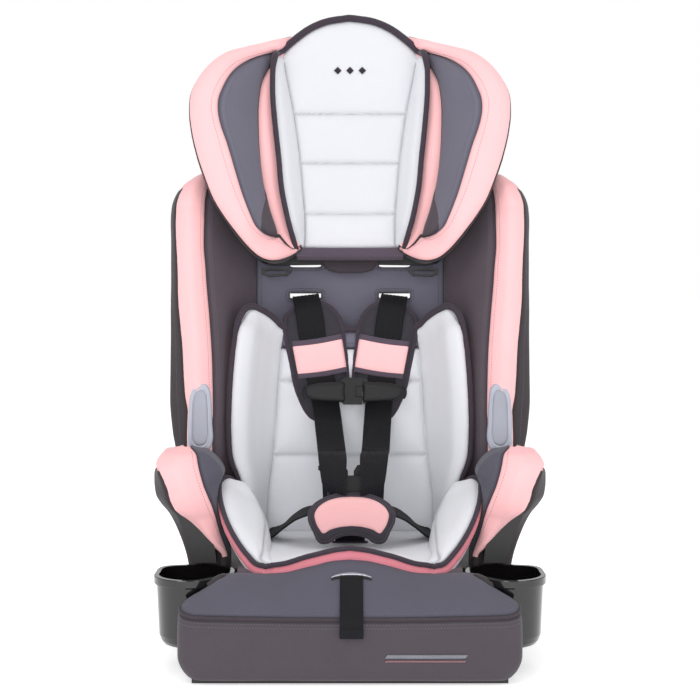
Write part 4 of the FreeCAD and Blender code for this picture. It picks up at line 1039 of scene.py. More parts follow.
def back_panel():
    w, h = BELT_SLOT_HALF_W, BELT_SLOT_HALF_H
    xs = np.array(sorted(PANEL_X + [-x for x in PANEL_X] + list(np.linspace(-29, 29, 13))))
    x, v = np.meshgrid(xs, np.array(sorted(set(PANEL_ROWS))))
    v = np.where(v > 415, v - 3 * np.abs(x / 121)**4 * (v - 415) / 10, v)
    skin = back(x, PANEL_DEPTH, v)
    slots = [(sign * BELT_SLOT_X, c, sign) for c in BELT_SLOT_HEIGHTS for sign in (-1, 1)]
    corners = ((1, -1), (1, 1), (-1, 1), (-1, -1), (1, -1))
    loops = [lean([(cx + sign * a * w, PANEL_DEPTH, c + b * h) for a, b in corners])
             for cx, c, sign in slots]
    puffed, d = puff(skin, normals(skin), loops, high=1.9, wide=12.0, groove=0.0,
                     wrinkle=0.3, seed=31, loose=0.45,
                     border=[skin[:, 0], skin[:, -1], skin[0], skin[-1]], inset=1)
    cell_x, cell_v = (x[:-1, :-1] + x[1:, 1:]) / 2, (v[:-1, :-1] + v[1:, 1:]) / 2
    keep = np.ones(cell_x.shape, bool)
    for cx, c, _ in slots:
        keep &= ~((np.abs(cell_x - cx) < w) & (np.abs(cell_v - c) < h))
    panel = slab("back_panel", puffed, 5.4, [SLATE, CHARCOAL], seam_shade=seam_shade_of(d, 1.5),
                 body="backrest", keep=keep)
    edge_w, edge_h = 21.2, 4.8
    for k, (cx, c, _) in enumerate(slots):
        ring = oval(cx, c, edge_w, edge_h, 0.5, 72)
        tube("back_slot_edge_%d" % k, lean([(a, -7.6, b) for a, b in ring]), 0.9,
             THREAD_GREY, "backrest", closed=True, seg=6)
        ring = oval(cx, c, edge_w + 4.5, edge_h + 4, 0.5, 72, endpoint=True)
        stitches("back_slot_stitch_%d" % k, lean([(a, -8.2, b) for a, b in ring]), FORWARD,
                 THREAD_DARK, "backrest", r=0.3)
    for side, tag in SIDES:
        j = np.argmin(np.abs(xs + side * 114))
        stitches("back_panel_stitch_" + tag, puffed[3:-2, j], FORWARD, THREAD_DARK,
                 "backrest", r=0.3)
    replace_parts(panel, "back_cover_panel")


# --------------------------------------------------------------- back insert
# (x, depth, height) of the left edge, and of the left half of the top and bottom edges
INSERT_SIDE = [(-127, -80, -30), (-128, -82, -10), (-129.9, -84, 14.4), (-139.6, -84, 42.2),
               (-149.3, -84, 66.8), (-152.1, -84, 94.2), (-152.3, -84, 132.6),
               (-149.9, -84, 176.8), (-146, -83, 215.6), (-142.2, -80.8, 238),
               (-136, -76.9, 252)]
INSERT_TOP = [(-136, -76.9, 252), (-131, -73, 258.5), (-124.9, -70.3, 261.5),
              (-111.3, -61.4, 258), (-98.1, -50.8, 250), (-86.8, -39.1, 240.1),
              (-70.1, -34.5, 235), (-35, -34, 235.5), (0, -34, 236)]
INSERT_BOTTOM = [(-127, -80, -30), (-118, -66, -30), (-110, -36, -30), (-90, -33, -30),
                 (-45, -33, -30), (0, -33, -30)]
# half width between the side seams, by height
INSERT_SEAM = graph([(-23, 110), (-15, 109.5), (16, 107.4), (77, 99.3), (170, 92.7),
                     (238, 87.2), (262, 86)])
# share of the edge's depth, by place from seam to edge
INSERT_SWELL = graph([(0, 0), (0.2, 0.22), (0.45, 0.62), (0.7, 1.03), (0.88, 1.12), (1, 1.0)])
INSERT_DEPTH = -33.0
INSERT_BAND = 211      # height where the top band begins
# (outward, y) of the columns of the gusset behind the piping
INSERT_GUSSET = [(0, 0), (2.2, 3.0), (3.2, 7), (3.4, 12), (3.0, 18), (1.5, 26), (-3, 34)]


def back_insert():
    rows, half_cols = 130, 70
    left, top = curve(INSERT_SIDE, rows), curve(INSERT_TOP, half_cols)
    middle = stack(0.0, INSERT_DEPTH, np.linspace(-30, 236, rows))
    half = coons(curve(INSERT_BOTTOM, half_cols), top, left, middle)
    x, v = half[..., 0], half[..., 2]
    seam_x = INSERT_SEAM(v)
    edge_x = np.maximum(np.interp(v, left[:, 2], -left[:, 0]), -x + 0.01)
    share = np.clip((-x - seam_x) / np.maximum(edge_x - seam_x, 6), 0, 1)
    edge_n = np.interp(v, left[:, 2], left[:, 1])
    n = INSERT_DEPTH + INSERT_SWELL(share) * (edge_n - INSERT_DEPTH)
    # near the top edge the depth follows the outline
    near_top = smooth((v - (top[:, 2][None, :] - 38)) / 38)
    n = n * (1 - near_top) + top[:, 1][None, :] * near_top
    full = mirror_grid(np.stack([x, n, v], -1))
    skin = lean(full)
    x, v = full[..., 0], full[..., 2]
    seam_v = np.linspace(-24, 240, 60)
    seams = [back(sign * INSERT_SEAM(seam_v), -33.5, seam_v) for sign in (-1, 1)]
    for height in (169.4, 73.5):
        w = float(INSERT_SEAM(height))
        seams.append(back(np.linspace(-w, w, 50), -33.2, height))
    band_seam = back(np.linspace(-89, 89, 50), -33.6, INSERT_BAND)
    centre = np.abs(x) < INSERT_SEAM(v)
    band = centre & (v > INSERT_BAND)
    puffed, _ = puff(skin, normals(skin), seams + [band_seam],
                     np.where(band, 4.0, np.where(centre, 7.5, 4.5)),
                     np.where(centre, 24.0, 16.0),
                     groove=1.2, wrinkle=0.35, seed=9, loose=0.4,
                     border=[skin[:, 0], skin[:, -1], skin[0], skin[-1]])
    mid = (full[:-1, :-1] + full[1:, 1:]) / 2
    cell = (np.abs(mid[..., 0]) < INSERT_SEAM(mid[..., 2])) & (mid[..., 2] > INSERT_BAND)
    pad = slab("back_insert_pad", puffed, 5.0, [LIGHT, SLATE, PIPING], cell,
               seam_shade=seam_shade_of(near(skin, seams)[0], 2.0), body="backrest")
    normal = normals(puffed)
    edge = np.vstack([puffed[4:, 0], puffed[-1, 1:-1], puffed[::-1, -1][:-4]])
    edge = curve(edge[::3], 420)
    tube("back_insert_piping", edge + outward(edge) * 1.0 + np.array([0, -2.4, 0]), 4.2,
         PIPING, "backrest", ripple=0.03, seg=14)
    row = np.argmin(np.abs(full[:, half_cols, 2] - INSERT_BAND))
    cord_on("back_insert_top_trim", puffed, normal, (row, np.abs(full[row, :, 0]) < 88),
            0.6, 2.0, PIPING, "backrest")
    row = np.argmin(np.abs(full[:, half_cols, 2] - (INSERT_BAND + 6)))
    stitches_on("back_insert_top_stitch", puffed, normal,
                (row, np.abs(full[row, :, 0]) < 84), THREAD_DARK, "backrest", r=0.3)
    for side, tag in SIDES:
        edge = puffed[6:-16, 0 if side > 0 else -1]
        gusset = np.stack([edge + np.array([-side * dx, dy, 0]) for dx, dy in INSERT_GUSSET], 1)
        # the gusset's pink is painted darker as shade
        slab("back_insert_gusset_" + tag, gusset, 3.0, [PINK_SHADED], out=(-side, -0.5, 0),
             body="backrest")
    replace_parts(pad, "back_insert")


# --------------------------------------------------------------- seat insert
# (x, y, z) from front to rear: outer edge of the left bolster, and its inner seam
SEAT_EDGE = [(-100, -124.5, 123.4), (-110, -120.0, 124.2), (-123.5, -110, 135.1),
             (-138.9, -92, 153.1), (-151.4, -70, 173.7), (-157.5, -52, 189),
             (-160.4, -32, 202.0), (-160.0, -15, 210.0), (-155.0, -6, 213.0),
             (-146, 0, 208), (-140, 5, 190)]
SEAT_SEAM = [(-97, -123.5, 124.5), (-105.6, -116, 128.8), (-104.0, -100, 137.5),
             (-103.8, -85, 143.5), (-104.0, -62, 151.5), (-104.3, -40, 160.4),
             (-107, -28, 168), (-110, -20, 174.1), (-116, -11, 187), (-123.2, -4, 198.0),
             (-130, 3, 200)]
# x and z of the bolster's foot, by y
FOOT_X = ([-124, -90, -20, 10], [-96, -100, -101, -104])
FOOT_Z = ([-124, -116, -100, -85, -40, 10], [124.8, 128, 129.5, 129.5, 129, 129])
# height of the front lip by distance from the centre
SEAT_CROWN = graph([(0, 147.6), (16.5, 145.8), (48.5, 137.5), (79.9, 127.2), (100, 124.5)])
SEAT_FLOOR = 129
# offsets from the outer edge of the lines under it, lowest first
SEAT_UNDER = ((2.5, 2.0, -20.0), (-1.5, 0.5, -11.0), (-2.0, -0.5, -5.0))
SEAT_UNDER_LOW = 113.0
# (y, z) offsets of the rows of the gusset below the front piping
SEAT_GUSSET = ((0, 0), (-1.8, -3.5), (-2.8, -6.5), (-3.2, -9.5), (-2.2, -13), (2, -17.0))


def seat_insert():
    rows, floor_steps = 120, 34
    edge, seam = curve(SEAT_EDGE, rows), curve(SEAT_SEAM, rows)
    y = seam[:, 1]
    foot = np.stack([np.interp(y, *FOOT_X), y,
                     np.minimum(np.interp(y, *FOOT_Z), seam[:, 2] - 0.5)], -1)
    under = []
    for offset in SEAT_UNDER:
        line = edge + np.array(offset)
        line[:, 2] = np.maximum(line[:, 2], SEAT_UNDER_LOW)
        under.append(line)
    columns, slots, marks = loft(under + [edge, seam, foot],
                                 [(3, 2), (4, 1), (3, 1), (26, 0), (10, 0)])
    for q in np.linspace(0, 1, floor_steps + 1)[1:]:
        x = foot[:, 0] * (1 - q)
        front_y = -124.0 - 5.5 * smooth((96 - np.abs(x)) / 70)
        w = smooth((y - front_y) / 46.0)
        t = (y - y[0]) / (y[-1] - y[0])
        z = SEAT_CROWN(np.abs(x)) * (1 - w) + SEAT_FLOOR * w
        columns.append(np.stack([x, front_y + (y[-1] - front_y) * t, z], -1))
    slots += [0] * floor_steps
    skin = mirror_grid(np.stack(columns, 1))
    out = (0, -0.3, 1)
    at_edge, at_seam = marks[3], marks[4]
    cols = skin.shape[1]
    right_edge, right_seam = cols - 1 - at_edge, cols - 1 - at_seam
    seams = [skin[:, at_seam], skin[:, right_seam]]
    border = [skin[:, at_edge], skin[:, right_edge], skin[0, at_edge:cols - at_edge]]
    u = np.minimum(np.arange(cols), cols - 1 - np.arange(cols))
    puffed, _ = puff(skin, normals(skin, out), seams,
                     stepped(u, (at_edge, at_seam), (1.5, 6.5, 4.5)),
                     stepped(u, (at_edge, at_seam), (6.0, 18.0, 22.0)),
                     groove=1.2, wrinkle=0.35, seed=14, loose=0.5, border=border, inset=3.0)
    # the strips under the bolsters' edges use the pink painted darker as shade
    pad = slab("seat_insert_pad", puffed, 3.0, [LIGHT, PINK_SHADED, LIGHT],
               slots + slots[::-1], out, seam_shade_of(near(skin, seams)[0], 2.0), body="base")
    front = puffed[0, at_edge:cols - at_edge]
    path = np.vstack([puffed[::-1, at_edge][:-1], front, puffed[:, right_edge][1:]])
    path = curve(path[::3], 460)
    tube("seat_insert_piping", path + np.array([0, -1.6, 1.0]), 3.1, PIPING, "base",
         ripple=0.03, seg=14)
    line = np.vstack([puffed[8:0:-1, at_edge], front[::2], puffed[1:9, right_edge]])
    line = curve(line, 200)
    # front gusset in the pink painted darker as shade
    gusset = np.stack([line + np.array([0, dy, dz]) for dy, dz in SEAT_GUSSET], 0)
    slab("seat_insert_gusset_front", gusset, 3.0, [PINK_SHADED], out=(0, -1, -0.3), body="base")
    # rear part of the seat, under the back insert
    x, y = np.meshgrid(np.linspace(-103, 103, 60), np.linspace(2, 92, 30))
    rear = stack(x, y, SEAT_FLOOR + 0.5)
    rear, _ = puff(rear, normals(rear, (0, 0, 1)), [rear[0], rear[-1]], high=3.0, wide=20,
                   groove=0.0, wrinkle=0.2, seed=3, loose=0.4)
    slab("seat_insert_rear", rear, 8.0, [LIGHT, LIGHT], out=(0, 0, 1), rim=0, body="base")
    # bound edge of the crotch strap's slot
    ring = [(a, b, 134.0) for a, b in oval(0, -21, 21, 4.2, 0.6, 50)]
    tube("seat_insert_slot", ring, 1.5, PIPING, "base", closed=True)
    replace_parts(pad, "seat_insert")


# ---------------------------------------------------------------- base cover
# height of the pad's rear edge by distance from the centre
BASE_CROWN = graph([(0, 132.5), (20, 131), (48, 123.5), (80, 114.5), (107, 113),
                    (133, 113), (150, 111.5), (170, 104.5), (195, 96)])
# share of the rise from front to rear at the centre
BASE_RAMP = graph([(0, 0), (0.25, 0.335), (0.522, 0.61), (0.67, 0.755), (0.80, 0.875),
                   (0.9, 0.95), (1, 1)])
# (x, y) of the left half of the pad's edge
BASE_EDGE = [(-150, -132), (-172, -152), (-190.5, -169), (-195, -178), (-195.3, -188),
             (-192, -198), (-184, -203.2), (-170, -204.5), (-120, -205), (-60, -205.2),
             (0, -205.3)]
# (share of the way down, outward) of the border wall
BORDER = [(0, 0.3), (0.02, 1.2), (0.045, 0.2), (0.07, 1.6), (0.12, 2.5), (0.25, 3.6),
          (0.5, 4.2), (0.75, 3.6), (0.88, 2.0), (0.95, -1.5), (0.985, -6.0), (1.0, -13.0)]
BORDER_HEIGHT, BORDER_BOTTOM = 75, 3.2
DECK_TOP, DECK_FRONT = 118, -112
BADGE_X = (40, 132)


def base_cover():
    edge = mirror_line(curve(BASE_EDGE, 76))
    cols = len(edge)
    rear = stack(np.linspace(-150, 150, cols), -119.0)
    s = np.linspace(0, 1, 56)[:, None, None]
    flat = (1 - s) * edge[None] + s * rear[None]
    x, y = flat[..., 0], flat[..., 1]
    q = np.clip((y + 204.5) / 78.0, 0, 1)
    front_z = 79 + 3 * np.abs(x / 195)**2
    side = smooth((np.abs(x) - 50) / 70)
    rise = np.sin(q * math.pi / 2)**0.9 * side + BASE_RAMP(q) * (1 - side)
    skin = stack(x, y, front_z + (BASE_CROWN(np.abs(x)) - front_z) * rise)
    top, d = puff(skin, normals(skin, (0, 0, 1)), [skin[0]], high=2.2, wide=16.0,
                  groove=0.0, wrinkle=0.5, seed=17, loose=0.6)
    pad = slab("base_pad_top", top, 6.0, [PAD_TOP, DARK], out=(0, 0, 1),
               seam_shade=seam_shade_of(d, 2.0), body="base")
    normal = normals(top, (0, 0, 1))
    for k, row in enumerate((3, 5)):
        stitches_on("base_pad_stitch_%d" % k, top, normal, np.s_[row, 8:-8], THREAD_GREY,
                    "base")
    wall = base_border(edge, top[0, :, 2])
    # deck cover behind the pad, under the seat insert
    x, y = np.meshgrid(np.linspace(-134, 134, 50), np.linspace(-121, 96, 40))
    slope = (BASE_CROWN(np.abs(x)) - DECK_TOP) * np.clip((DECK_FRONT - y) / 9, 0, 1) * 0.6
    deck = stack(x, y, np.minimum(DECK_TOP + slope, 121))
    slab("base_deck_cover", deck, 7.5, [CHARCOAL, DARK], out=(0, 0, 1), body="base")
    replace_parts(pad, "base_cover")
    badge("front_badge_bar", wall, 33, 37, 3, THREAD_LIGHT)
    badge("front_badge_line", wall, 28.5, 30.5, 1.5, THREAD_PINK)


def base_border(edge, top_z):
    """The wall round the pad's edge; returns its grid."""
    t = np.gradient(edge, axis=0)
    out = np.column_stack([unit(np.stack([t[:, 1], -t[:, 0]], -1), 0), np.zeros(len(edge))])
    rows = []
    for a, b in curve([(share * BORDER_HEIGHT, b) for share, b in BORDER], 60):
        q = a / BORDER_HEIGHT
        # the lower corners are drawn in
        corner = smooth((np.abs(edge[:, 0]) - 168) / 27) * smooth((a - 52) / 23)
        z = top_z * (1 - q) + BORDER_BOTTOM * q
        rows.append(np.column_stack([edge, z]) + out * (b - 7 * corner)[:, None])
    wall = np.array(rows)
    normal = normals(wall)
    gathers = (pucker(lengths(edge), 9)[None, :] * 0.18
               * np.exp(-np.linspace(0, 12, 60))[:, None])
    wall = wall + normal * (0.5 * lump(wall, 5, 90) + gathers)[..., None]
    slab("base_pad_border", wall, 6.0, [PAD_FRONT, DARK],
         seam_shade=seam_shade_of(near(wall, [wall[0], wall[4]])[0], 1.8), body="base")
    tube("base_pad_seam", wall[1, 3:-3] + out[3:-3] * 0.1, 1.3, CHARCOAL, "base")
    for k, row in enumerate((6, 9)):
        stitches_on("base_pad_border_stitch_%d" % k, wall, normal, np.s_[row, 4:-4],
                    THREAD_GREY, "base", r=0.32)
    return wall


def badge(name, wall, low, high, slant, mat):
    """Plain embroidered bar on the front of the wall: a row of satin threads."""
    def place(x, z, h):
        k = np.argmin((wall[..., 0] - x)**2 + (wall[..., 2] - z)**2
                      + 1000.0 * (wall[..., 1] > -190))
        return np.array([x, wall.reshape(-1, 3)[k][1] - 0.3 - h, z])
    x0, x1 = BADGE_X
    count = x1 - x0
    w = 0.46
    points, faces = [], []
    for i in range(count):
        x = x0 + i + 0.5
        o = len(points)
        for z, shift, rise in ((low, 0.0, 0.6), ((low + high) / 2, slant / 2, 1.1),
                               (high, slant, 0.6)):
            for dx, h in ((-w, 0.0), (-w * 0.5, 0.9), (w * 0.5, 0.9), (w, 0.0)):
                points.append(place(x + shift + dx, z, h * rise))
        faces += ring_faces(3, 4, o)
        faces += [(o, o + 1, o + 2, o + 3), (o + 8, o + 9, o + 10, o + 11)]
    make(name, np.array(points), faces, [mat], body="base")


# ------------------------------------------------------------------ armrests
# Left armrest by height z: x of the crown's seams, of the outer and inner sides;
# y of the front and of the outer side.
ARM_SEAM_IN = graph([(119, -151.6), (124, -151.8), (131, -152.5), (151, -158.5),
                     (174, -163.3), (187, -166.4), (197, -170), (213, -176.1),
                     (235, -182.5), (249, -186.6), (256, -196)])
ARM_SEAM_OUT = graph([(119, -153), (125, -154), (139.4, -172.6), (155.7, -189),
                      (171.9, -203.4), (183.4, -213), (196.5, -218.5), (208, -220.8),
                      (219.4, -225.6), (228, -230), (234, -233.2), (241, -231.5),
                      (250, -222), (256, -205)])
ARM_OUTER = graph([(96, -193.5), (119, -198), (148, -207.9), (168, -216.5), (176, -221),
                   (186, -228.2), (199, -234.7), (214, -236.4), (225, -236.4),
                   (231, -235.2), (241, -231.6), (250, -222.2), (256, -205.2)])
ARM_INNER = graph([(96, -151), (119, -151), (160, -160), (190, -164.5), (205, -164),
                   (215, -160.5), (222, -158), (230, -161), (240, -169), (247, -179),
                   (252, -186), (256, -195)])
ARM_FRONT_Y = graph([(96, -50), (119, -58), (140, -61), (160, -64), (172, -67.5),
                     (180, -73), (190, -78.5), (200, -82), (215, -84), (230, -81.5),
                     (240, -75.5), (250, -63), (254.5, -52), (256, -44)])
ARM_OUTER_Y = graph([(96, -38), (150, -30), (172, -34), (200, -46), (240, -44), (256, -34)])
ARM_TOP = 256


def armrest():
    zs = np.r_[np.linspace(97, 236, 70), 236 + 20 * np.sin(np.linspace(0.04, math.pi / 2, 26))]
    seam_in, seam_out = ARM_SEAM_IN(zs), ARM_SEAM_OUT(zs)
    outer, inner = ARM_OUTER(zs), ARM_INNER(zs)
    front_y, outer_y = ARM_FRONT_Y(zs), ARM_OUTER_Y(zs)
    k = smooth((zs - 245) / 11)
    rear_y = -4.0 - 22 * k
    lines = [(inner, rear_y), (inner, -42 * (1 - k) + -36 * k), (seam_in, front_y + 9),
             ((seam_in + seam_out) / 2, front_y), (seam_out, front_y + 12),
             (outer, outer_y + 6), (outer + 0.5, -20.0), (outer + 1.0, rear_y)]
    columns, slots, marks = loft([stack(x, y, zs) for x, y in lines],
                                 [(10, 1), (10, 1), (10, 0), (10, 0), (10, 2), (5, 2), (5, 2)])
    skin = np.stack(columns, 1)
    crown_width = np.abs(seam_in - seam_out)
    bulge(skin, marks[2], marks[4], np.minimum(6, crown_width * 0.14)[:, None])
    bulge(skin, marks[0], marks[2], 4.0)
    bulge(skin, marks[4], marks[6], 3.0)
    # even out the rows near the top
    top = smooth((zs - 222) / 14)[1:-1, None, None]
    for _ in range(10):
        skin[1:-1] += top * (0.25 * skin[:-2] + 0.5 * skin[1:-1] + 0.25 * skin[2:]
                             - skin[1:-1])
    turn = np.argmin(np.abs(zs - 231))
    seams = [skin[:, marks[2]], skin[:turn, marks[4]], skin[turn, marks[4]:]]
    high = np.where(np.arange(skin.shape[1]) < marks[2], 3.0, 3.2)
    puffed, d = puff(skin, normals(skin), seams,
                     high * smooth((ARM_TOP - zs) / 10)[:, None], 12.0,
                     groove=1.1, wrinkle=0.45, seed=33, loose=0.4,
                     limit=smooth((ARM_TOP + 0.5 - zs) / 9)[:, None])
    rows = len(zs)
    cell = np.tile(slots, (rows - 1, 1))
    cell[np.argmin(np.abs(zs - 230.5)):, marks[4]:] = 0
    cell[:np.argmin(np.abs(zs - 124)), :] = 2
    # the cover thins where the top closes over itself
    thick = (5.0 - 4.4 * smooth((zs - 238) / 10))[:, None]
    cover = slab("armrest_left_cover", puffed, thick, [PINK, PAD_TOP, DARK], cell,
                 seam_shade=seam_shade_of(d), body="base")
    normal = normals(puffed)
    both_sides([
        cover,
        stitches_on("armrest_left_stitch_pink", puffed, normal,
                    np.s_[22:rows - 10, marks[2] + 3], THREAD_PINK, "base"),
        cord_on("armrest_left_seam", puffed, normal, np.s_[20:rows - 6, marks[2]],
                0.2, 1.4, PIPING, "base"),
        stitches_on("armrest_left_stitch_dark", puffed, normal,
                    np.s_[20:rows - 10, marks[2] - 2], THREAD_GREY, "base", r=0.3),
    ], "base", "armrest_cover_left")


# -------------------------------------------------------------- belt guides
# outline (x, height) of the left guide
GUIDE_OUTLINE = [(-189, 160), (-196, 156), (-200.5, 146), (-202.5, 124), (-203, 96),
                 (-202, 81), (-196, 74.5), (-183, 73.5), (-176, 77), (-172.5, 86),
                 (-173, 112), (-174.5, 140), (-177, 154), (-182, 160)]
GUIDE_CENTRE = np.array([-187.5, 117.0])


def belt_guide():
    outline = curve(GUIDE_OUTLINE, 72, closed=True)
    moulding = cushion("belt_guide_left_moulding", outline, [(-187, 92), (-186, 142)],
                       lambda a, b, h: back(a, -106.0 - h, b), high=7.0, low=3.0,
                       mats=[GUIDE], wide=7.0, edge=1.5, body="backrest")
    ring = GUIDE_CENTRE + (outline - GUIDE_CENTRE) * [0.72, 0.86]
    groove = tube("belt_guide_left_groove", back(ring[:, 0], -112.9, ring[:, 1]), 0.9, GUIDE,
                  "backrest", closed=True)
    ring = GUIDE_CENTRE + (outline - GUIDE_CENTRE) * [0.62, 0.80]
    face = cushion("belt_guide_left_face", ring, [(-187, 98), (-186.5, 138)],
                   lambda a, b, h: back(a, -113.2 - h, b), high=1.6, low=1.4,
                   mats=[GUIDE_FACE], wide=4.0, edge=0.2, body="backrest")
    for part in (moulding, groove, face):
        mirrored(part, "backrest")
    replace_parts(moulding, "belt_guides")


# ------------------------------------------------------------------- straps
# left shoulder strap: (x, depth, height) down the back, then (x, y, z) to the buckle
SHOULDER_BACK = [(-30, 30, 196), (-54, 30, 262), (-58.5, 19, 279.5), (-58.5, 6, 283),
                 (-58.5, -9, 283), (-58, -20, 281.5), (-57.2, -33, 277), (-54.5, -45.2, 264),
                 (-51.5, -47.4, 248), (-49.8, -47.3, 234), (-48.2, -44.4, 221),
                 (-46, -44.6, 200), (-38, -46.4, 172), (-31, -49.5, 136), (-26, -83, 100),
                 (-23, -118, 76)]
SHOULDER_SEAT = [(-21.5, -33, 241), (-20.5, -47.5, 233), (-20, -57, 222), (-19.5, -60.5, 211),
                 (-19, -57, 202.5), (-19, -53.5, 195), (-19, -52, 186)]
# the right strap's lower points lie this much further towards +x
RIGHT_SHIFT_BACK, RIGHT_SHIFT_SEAT = [0] * 12 + [3, 6, 8, 9], 8.0
# left lap strap: (x, y, z), and the direction of its width
LAP = [(-110, 41, 92), (-110, 41, 116), (-107, 33, 128), (-102, 18, 135), (-88, -4, 147),
       (-74, -20, 161), (-62.5, -30, 170), (-52, -38, 175), (-38, -43, 179)]
LAP_SIDE = [(0, 1, 0), (0, 1, 0), (0.05, 1, 0.06), (0.12, 0.95, 0.12), (0.28, 0.85, 0.22),
            (0.3, 0.85, 0.24), (0.2, 0.9, 0.2), (0.1, 0.95, 0.14), (0.05, 1, 0.08)]
CROTCH = [(-21, 95), (-21, 112), (-21.5, 128), (-28, 143), (-40, 153.5)]          # (y, z)
TETHER = [(32.5, 383), (35.5, 362), (36.8, 330), (37, 230), (39, 180), (41, 130)]  # back
SPLITTER_X = ADJUSTER_X = 1.7
SPLITTER_SEAT = [(-138.5, 52), (-120, 45), (-100, 40), (0, 37), (100, 34), (180, 34),
                 (198, 36), (206, 48), (206, 84), (203, 120), (188, 165)]          # (y, z)
SPLITTER_BACK = [(30.5, 60), (28.5, 100), (28, 150), (27, 173)]      # (depth, height)
TAIL = [(-150, 112), (-155.5, 116.8), (-160, 118.2), (-166, 114.8), (-175, 109.2),
        (-190, 98.0), (-203.5, 86.5), (-210.5, 77.5), (-212.2, 68), (-212.4, 59)]  # (y, z)
TAIL_HEM = [(-212.4, 68), (-213.4, 63), (-213.4, 57)]
BEZEL_LIP = [(-22.0, -159.6, 117.2), (-16, -158.0, 118.9), (-8, -156.9, 120.0),
             (ADJUSTER_X, -156.6, 120.4), (11, -156.9, 120.0), (19, -158.0, 118.9),
             (25.5, -159.6, 117.2)]


def metres(point):
    return tuple(np.asarray(point) * MM)


def shoulder_strap(side, tag):
    right = side < 0
    points = [back(x * side + right * shift, n, v)
              for (x, n, v), shift in zip(SHOULDER_BACK, RIGHT_SHIFT_BACK)]
    points += [np.array([x * side + right * RIGHT_SHIFT_SEAT, y, z])
               for x, y, z in SHOULDER_SEAT]
    path = curve(points, 140)
    turn = 0.62 * smooth((300 - path[:, 2]) / 100) * (path[:, 1] < 60)
    # the webbing comes out of its slot a little askew, the outer edge lower
    askew = 0.12 * smooth((path[:, 2] - 405) / 20)
    across = np.stack([np.cos(turn), -side * np.sin(turn), side * askew], -1)
    k = int(np.argmin(np.abs(path[:, 1] - 7.0) + 1000.0 * (path[:, 2] > 300)))
    name = "shoulder_strap_" + tag
    upper = strap(name + "_webbing", path[:k + 3], 35.0, 1.9, across[:k + 3])
    metres(back(0, -48, 150))
    metres(back(0, -112, 80))
    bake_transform(upper)
    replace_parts(upper, name)
    lower = strap(name + "_end", path[k - 1:], 34.8, 1.7, across[k - 1:])
    metres(path[k + 2])
    metres([path[k + 2][0], -57.0, 213.0])
    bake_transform(lower)


def lap_strap(side, tag):
    flip = [side, 1, 1]
    ob = strap("lap_strap_" + tag + "_webbing", curve(LAP, 90) * flip, 36.0, 1.8,
               curve(LAP_SIDE, 90) * flip)
    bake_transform(ob)
    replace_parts(ob, "lap_strap_" + tag)


def centre_straps():
    ob = strap("crotch_strap_webbing", curve(upright(0, CROTCH), 60), 37.0, 2.0)
    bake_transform(ob)
    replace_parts(ob, "crotch_strap")
    ob = strap("tether_strap_webbing", curve(lean(upright(0, TETHER)), 90), 30.0, 2.0,
               body="backrest")
    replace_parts(ob, "tether_strap")
    points = np.vstack([upright(SPLITTER_X, SPLITTER_SEAT),
                        lean(upright(SPLITTER_X, SPLITTER_BACK))])
    ob = strap("splitter_strap_webbing", curve(points, 150), 25.0, 2.0)
    metres(back(SPLITTER_X, *SPLITTER_BACK[0]))
    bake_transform(ob)
    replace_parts(ob, "splitter_strap")


def adjuster():
    """The loose tail at the front, and the slot it comes out of."""
    ob = strap("adjuster_tail_webbing", curve(upright(ADJUSTER_X, TAIL), 90), 27.0, 2.2,
               body="adjuster_tail")
    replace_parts(ob, "adjuster_strap")
    lip = curve(BEZEL_LIP, 60)
    swell = np.sin(np.linspace(0, math.pi, 60))**0.7
    ob = tube("adjuster_bezel_lip", lip, 0.7 + 1.7 * swell, BEZEL, "base")
    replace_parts(ob, "adjuster_bezel")
    tube("adjuster_slot_edge", lip + np.array([0, -2.2, -2.4]), 0.6 + 1.3 * swell, DARK,
         "base")
    strap("adjuster_tail_hem", curve(upright(ADJUSTER_X, TAIL_HEM), 20), 27.4, 3.6,
          body="adjuster_tail")


# ------------------------------------------------------------- shoulder pads
# outline (x, height) of the left pad
SHOULDER_PAD = [(-72, 262), (-83, 252), (-84, 236), (-79, 208), (-71.5, 170), (-67, 151),
                (-58.4, 131.8), (-51, 122), (-45, 119), (-38, 124), (-28, 140), (-16, 158),
                (-5, 171), (-4, 186), (-8.1, 215), (-11.9, 245), (-18.7, 257.5),
                (-32.4, 268.3), (-52, 270)]
# top and bottom ends of the cuff's two short edges: outer, then inner
CUFF_OUTER = np.array([(-75.5, 213.2), (-68.5, 176.5)])
CUFF_INNER = np.array([(-9.5, 223.4), (-3.8, 186.0)])
# (name, start and end share down the cuff, lift, material, rise)
CUFFS = (("patch", 0.0, 1.0, 7.6, PINK, 4.6), ("trim_top", -0.17, 0.03, 7.4, PIPING, 4.3),
         ("trim_low", 0.97, 1.16, 7.4, PIPING, 4.3))


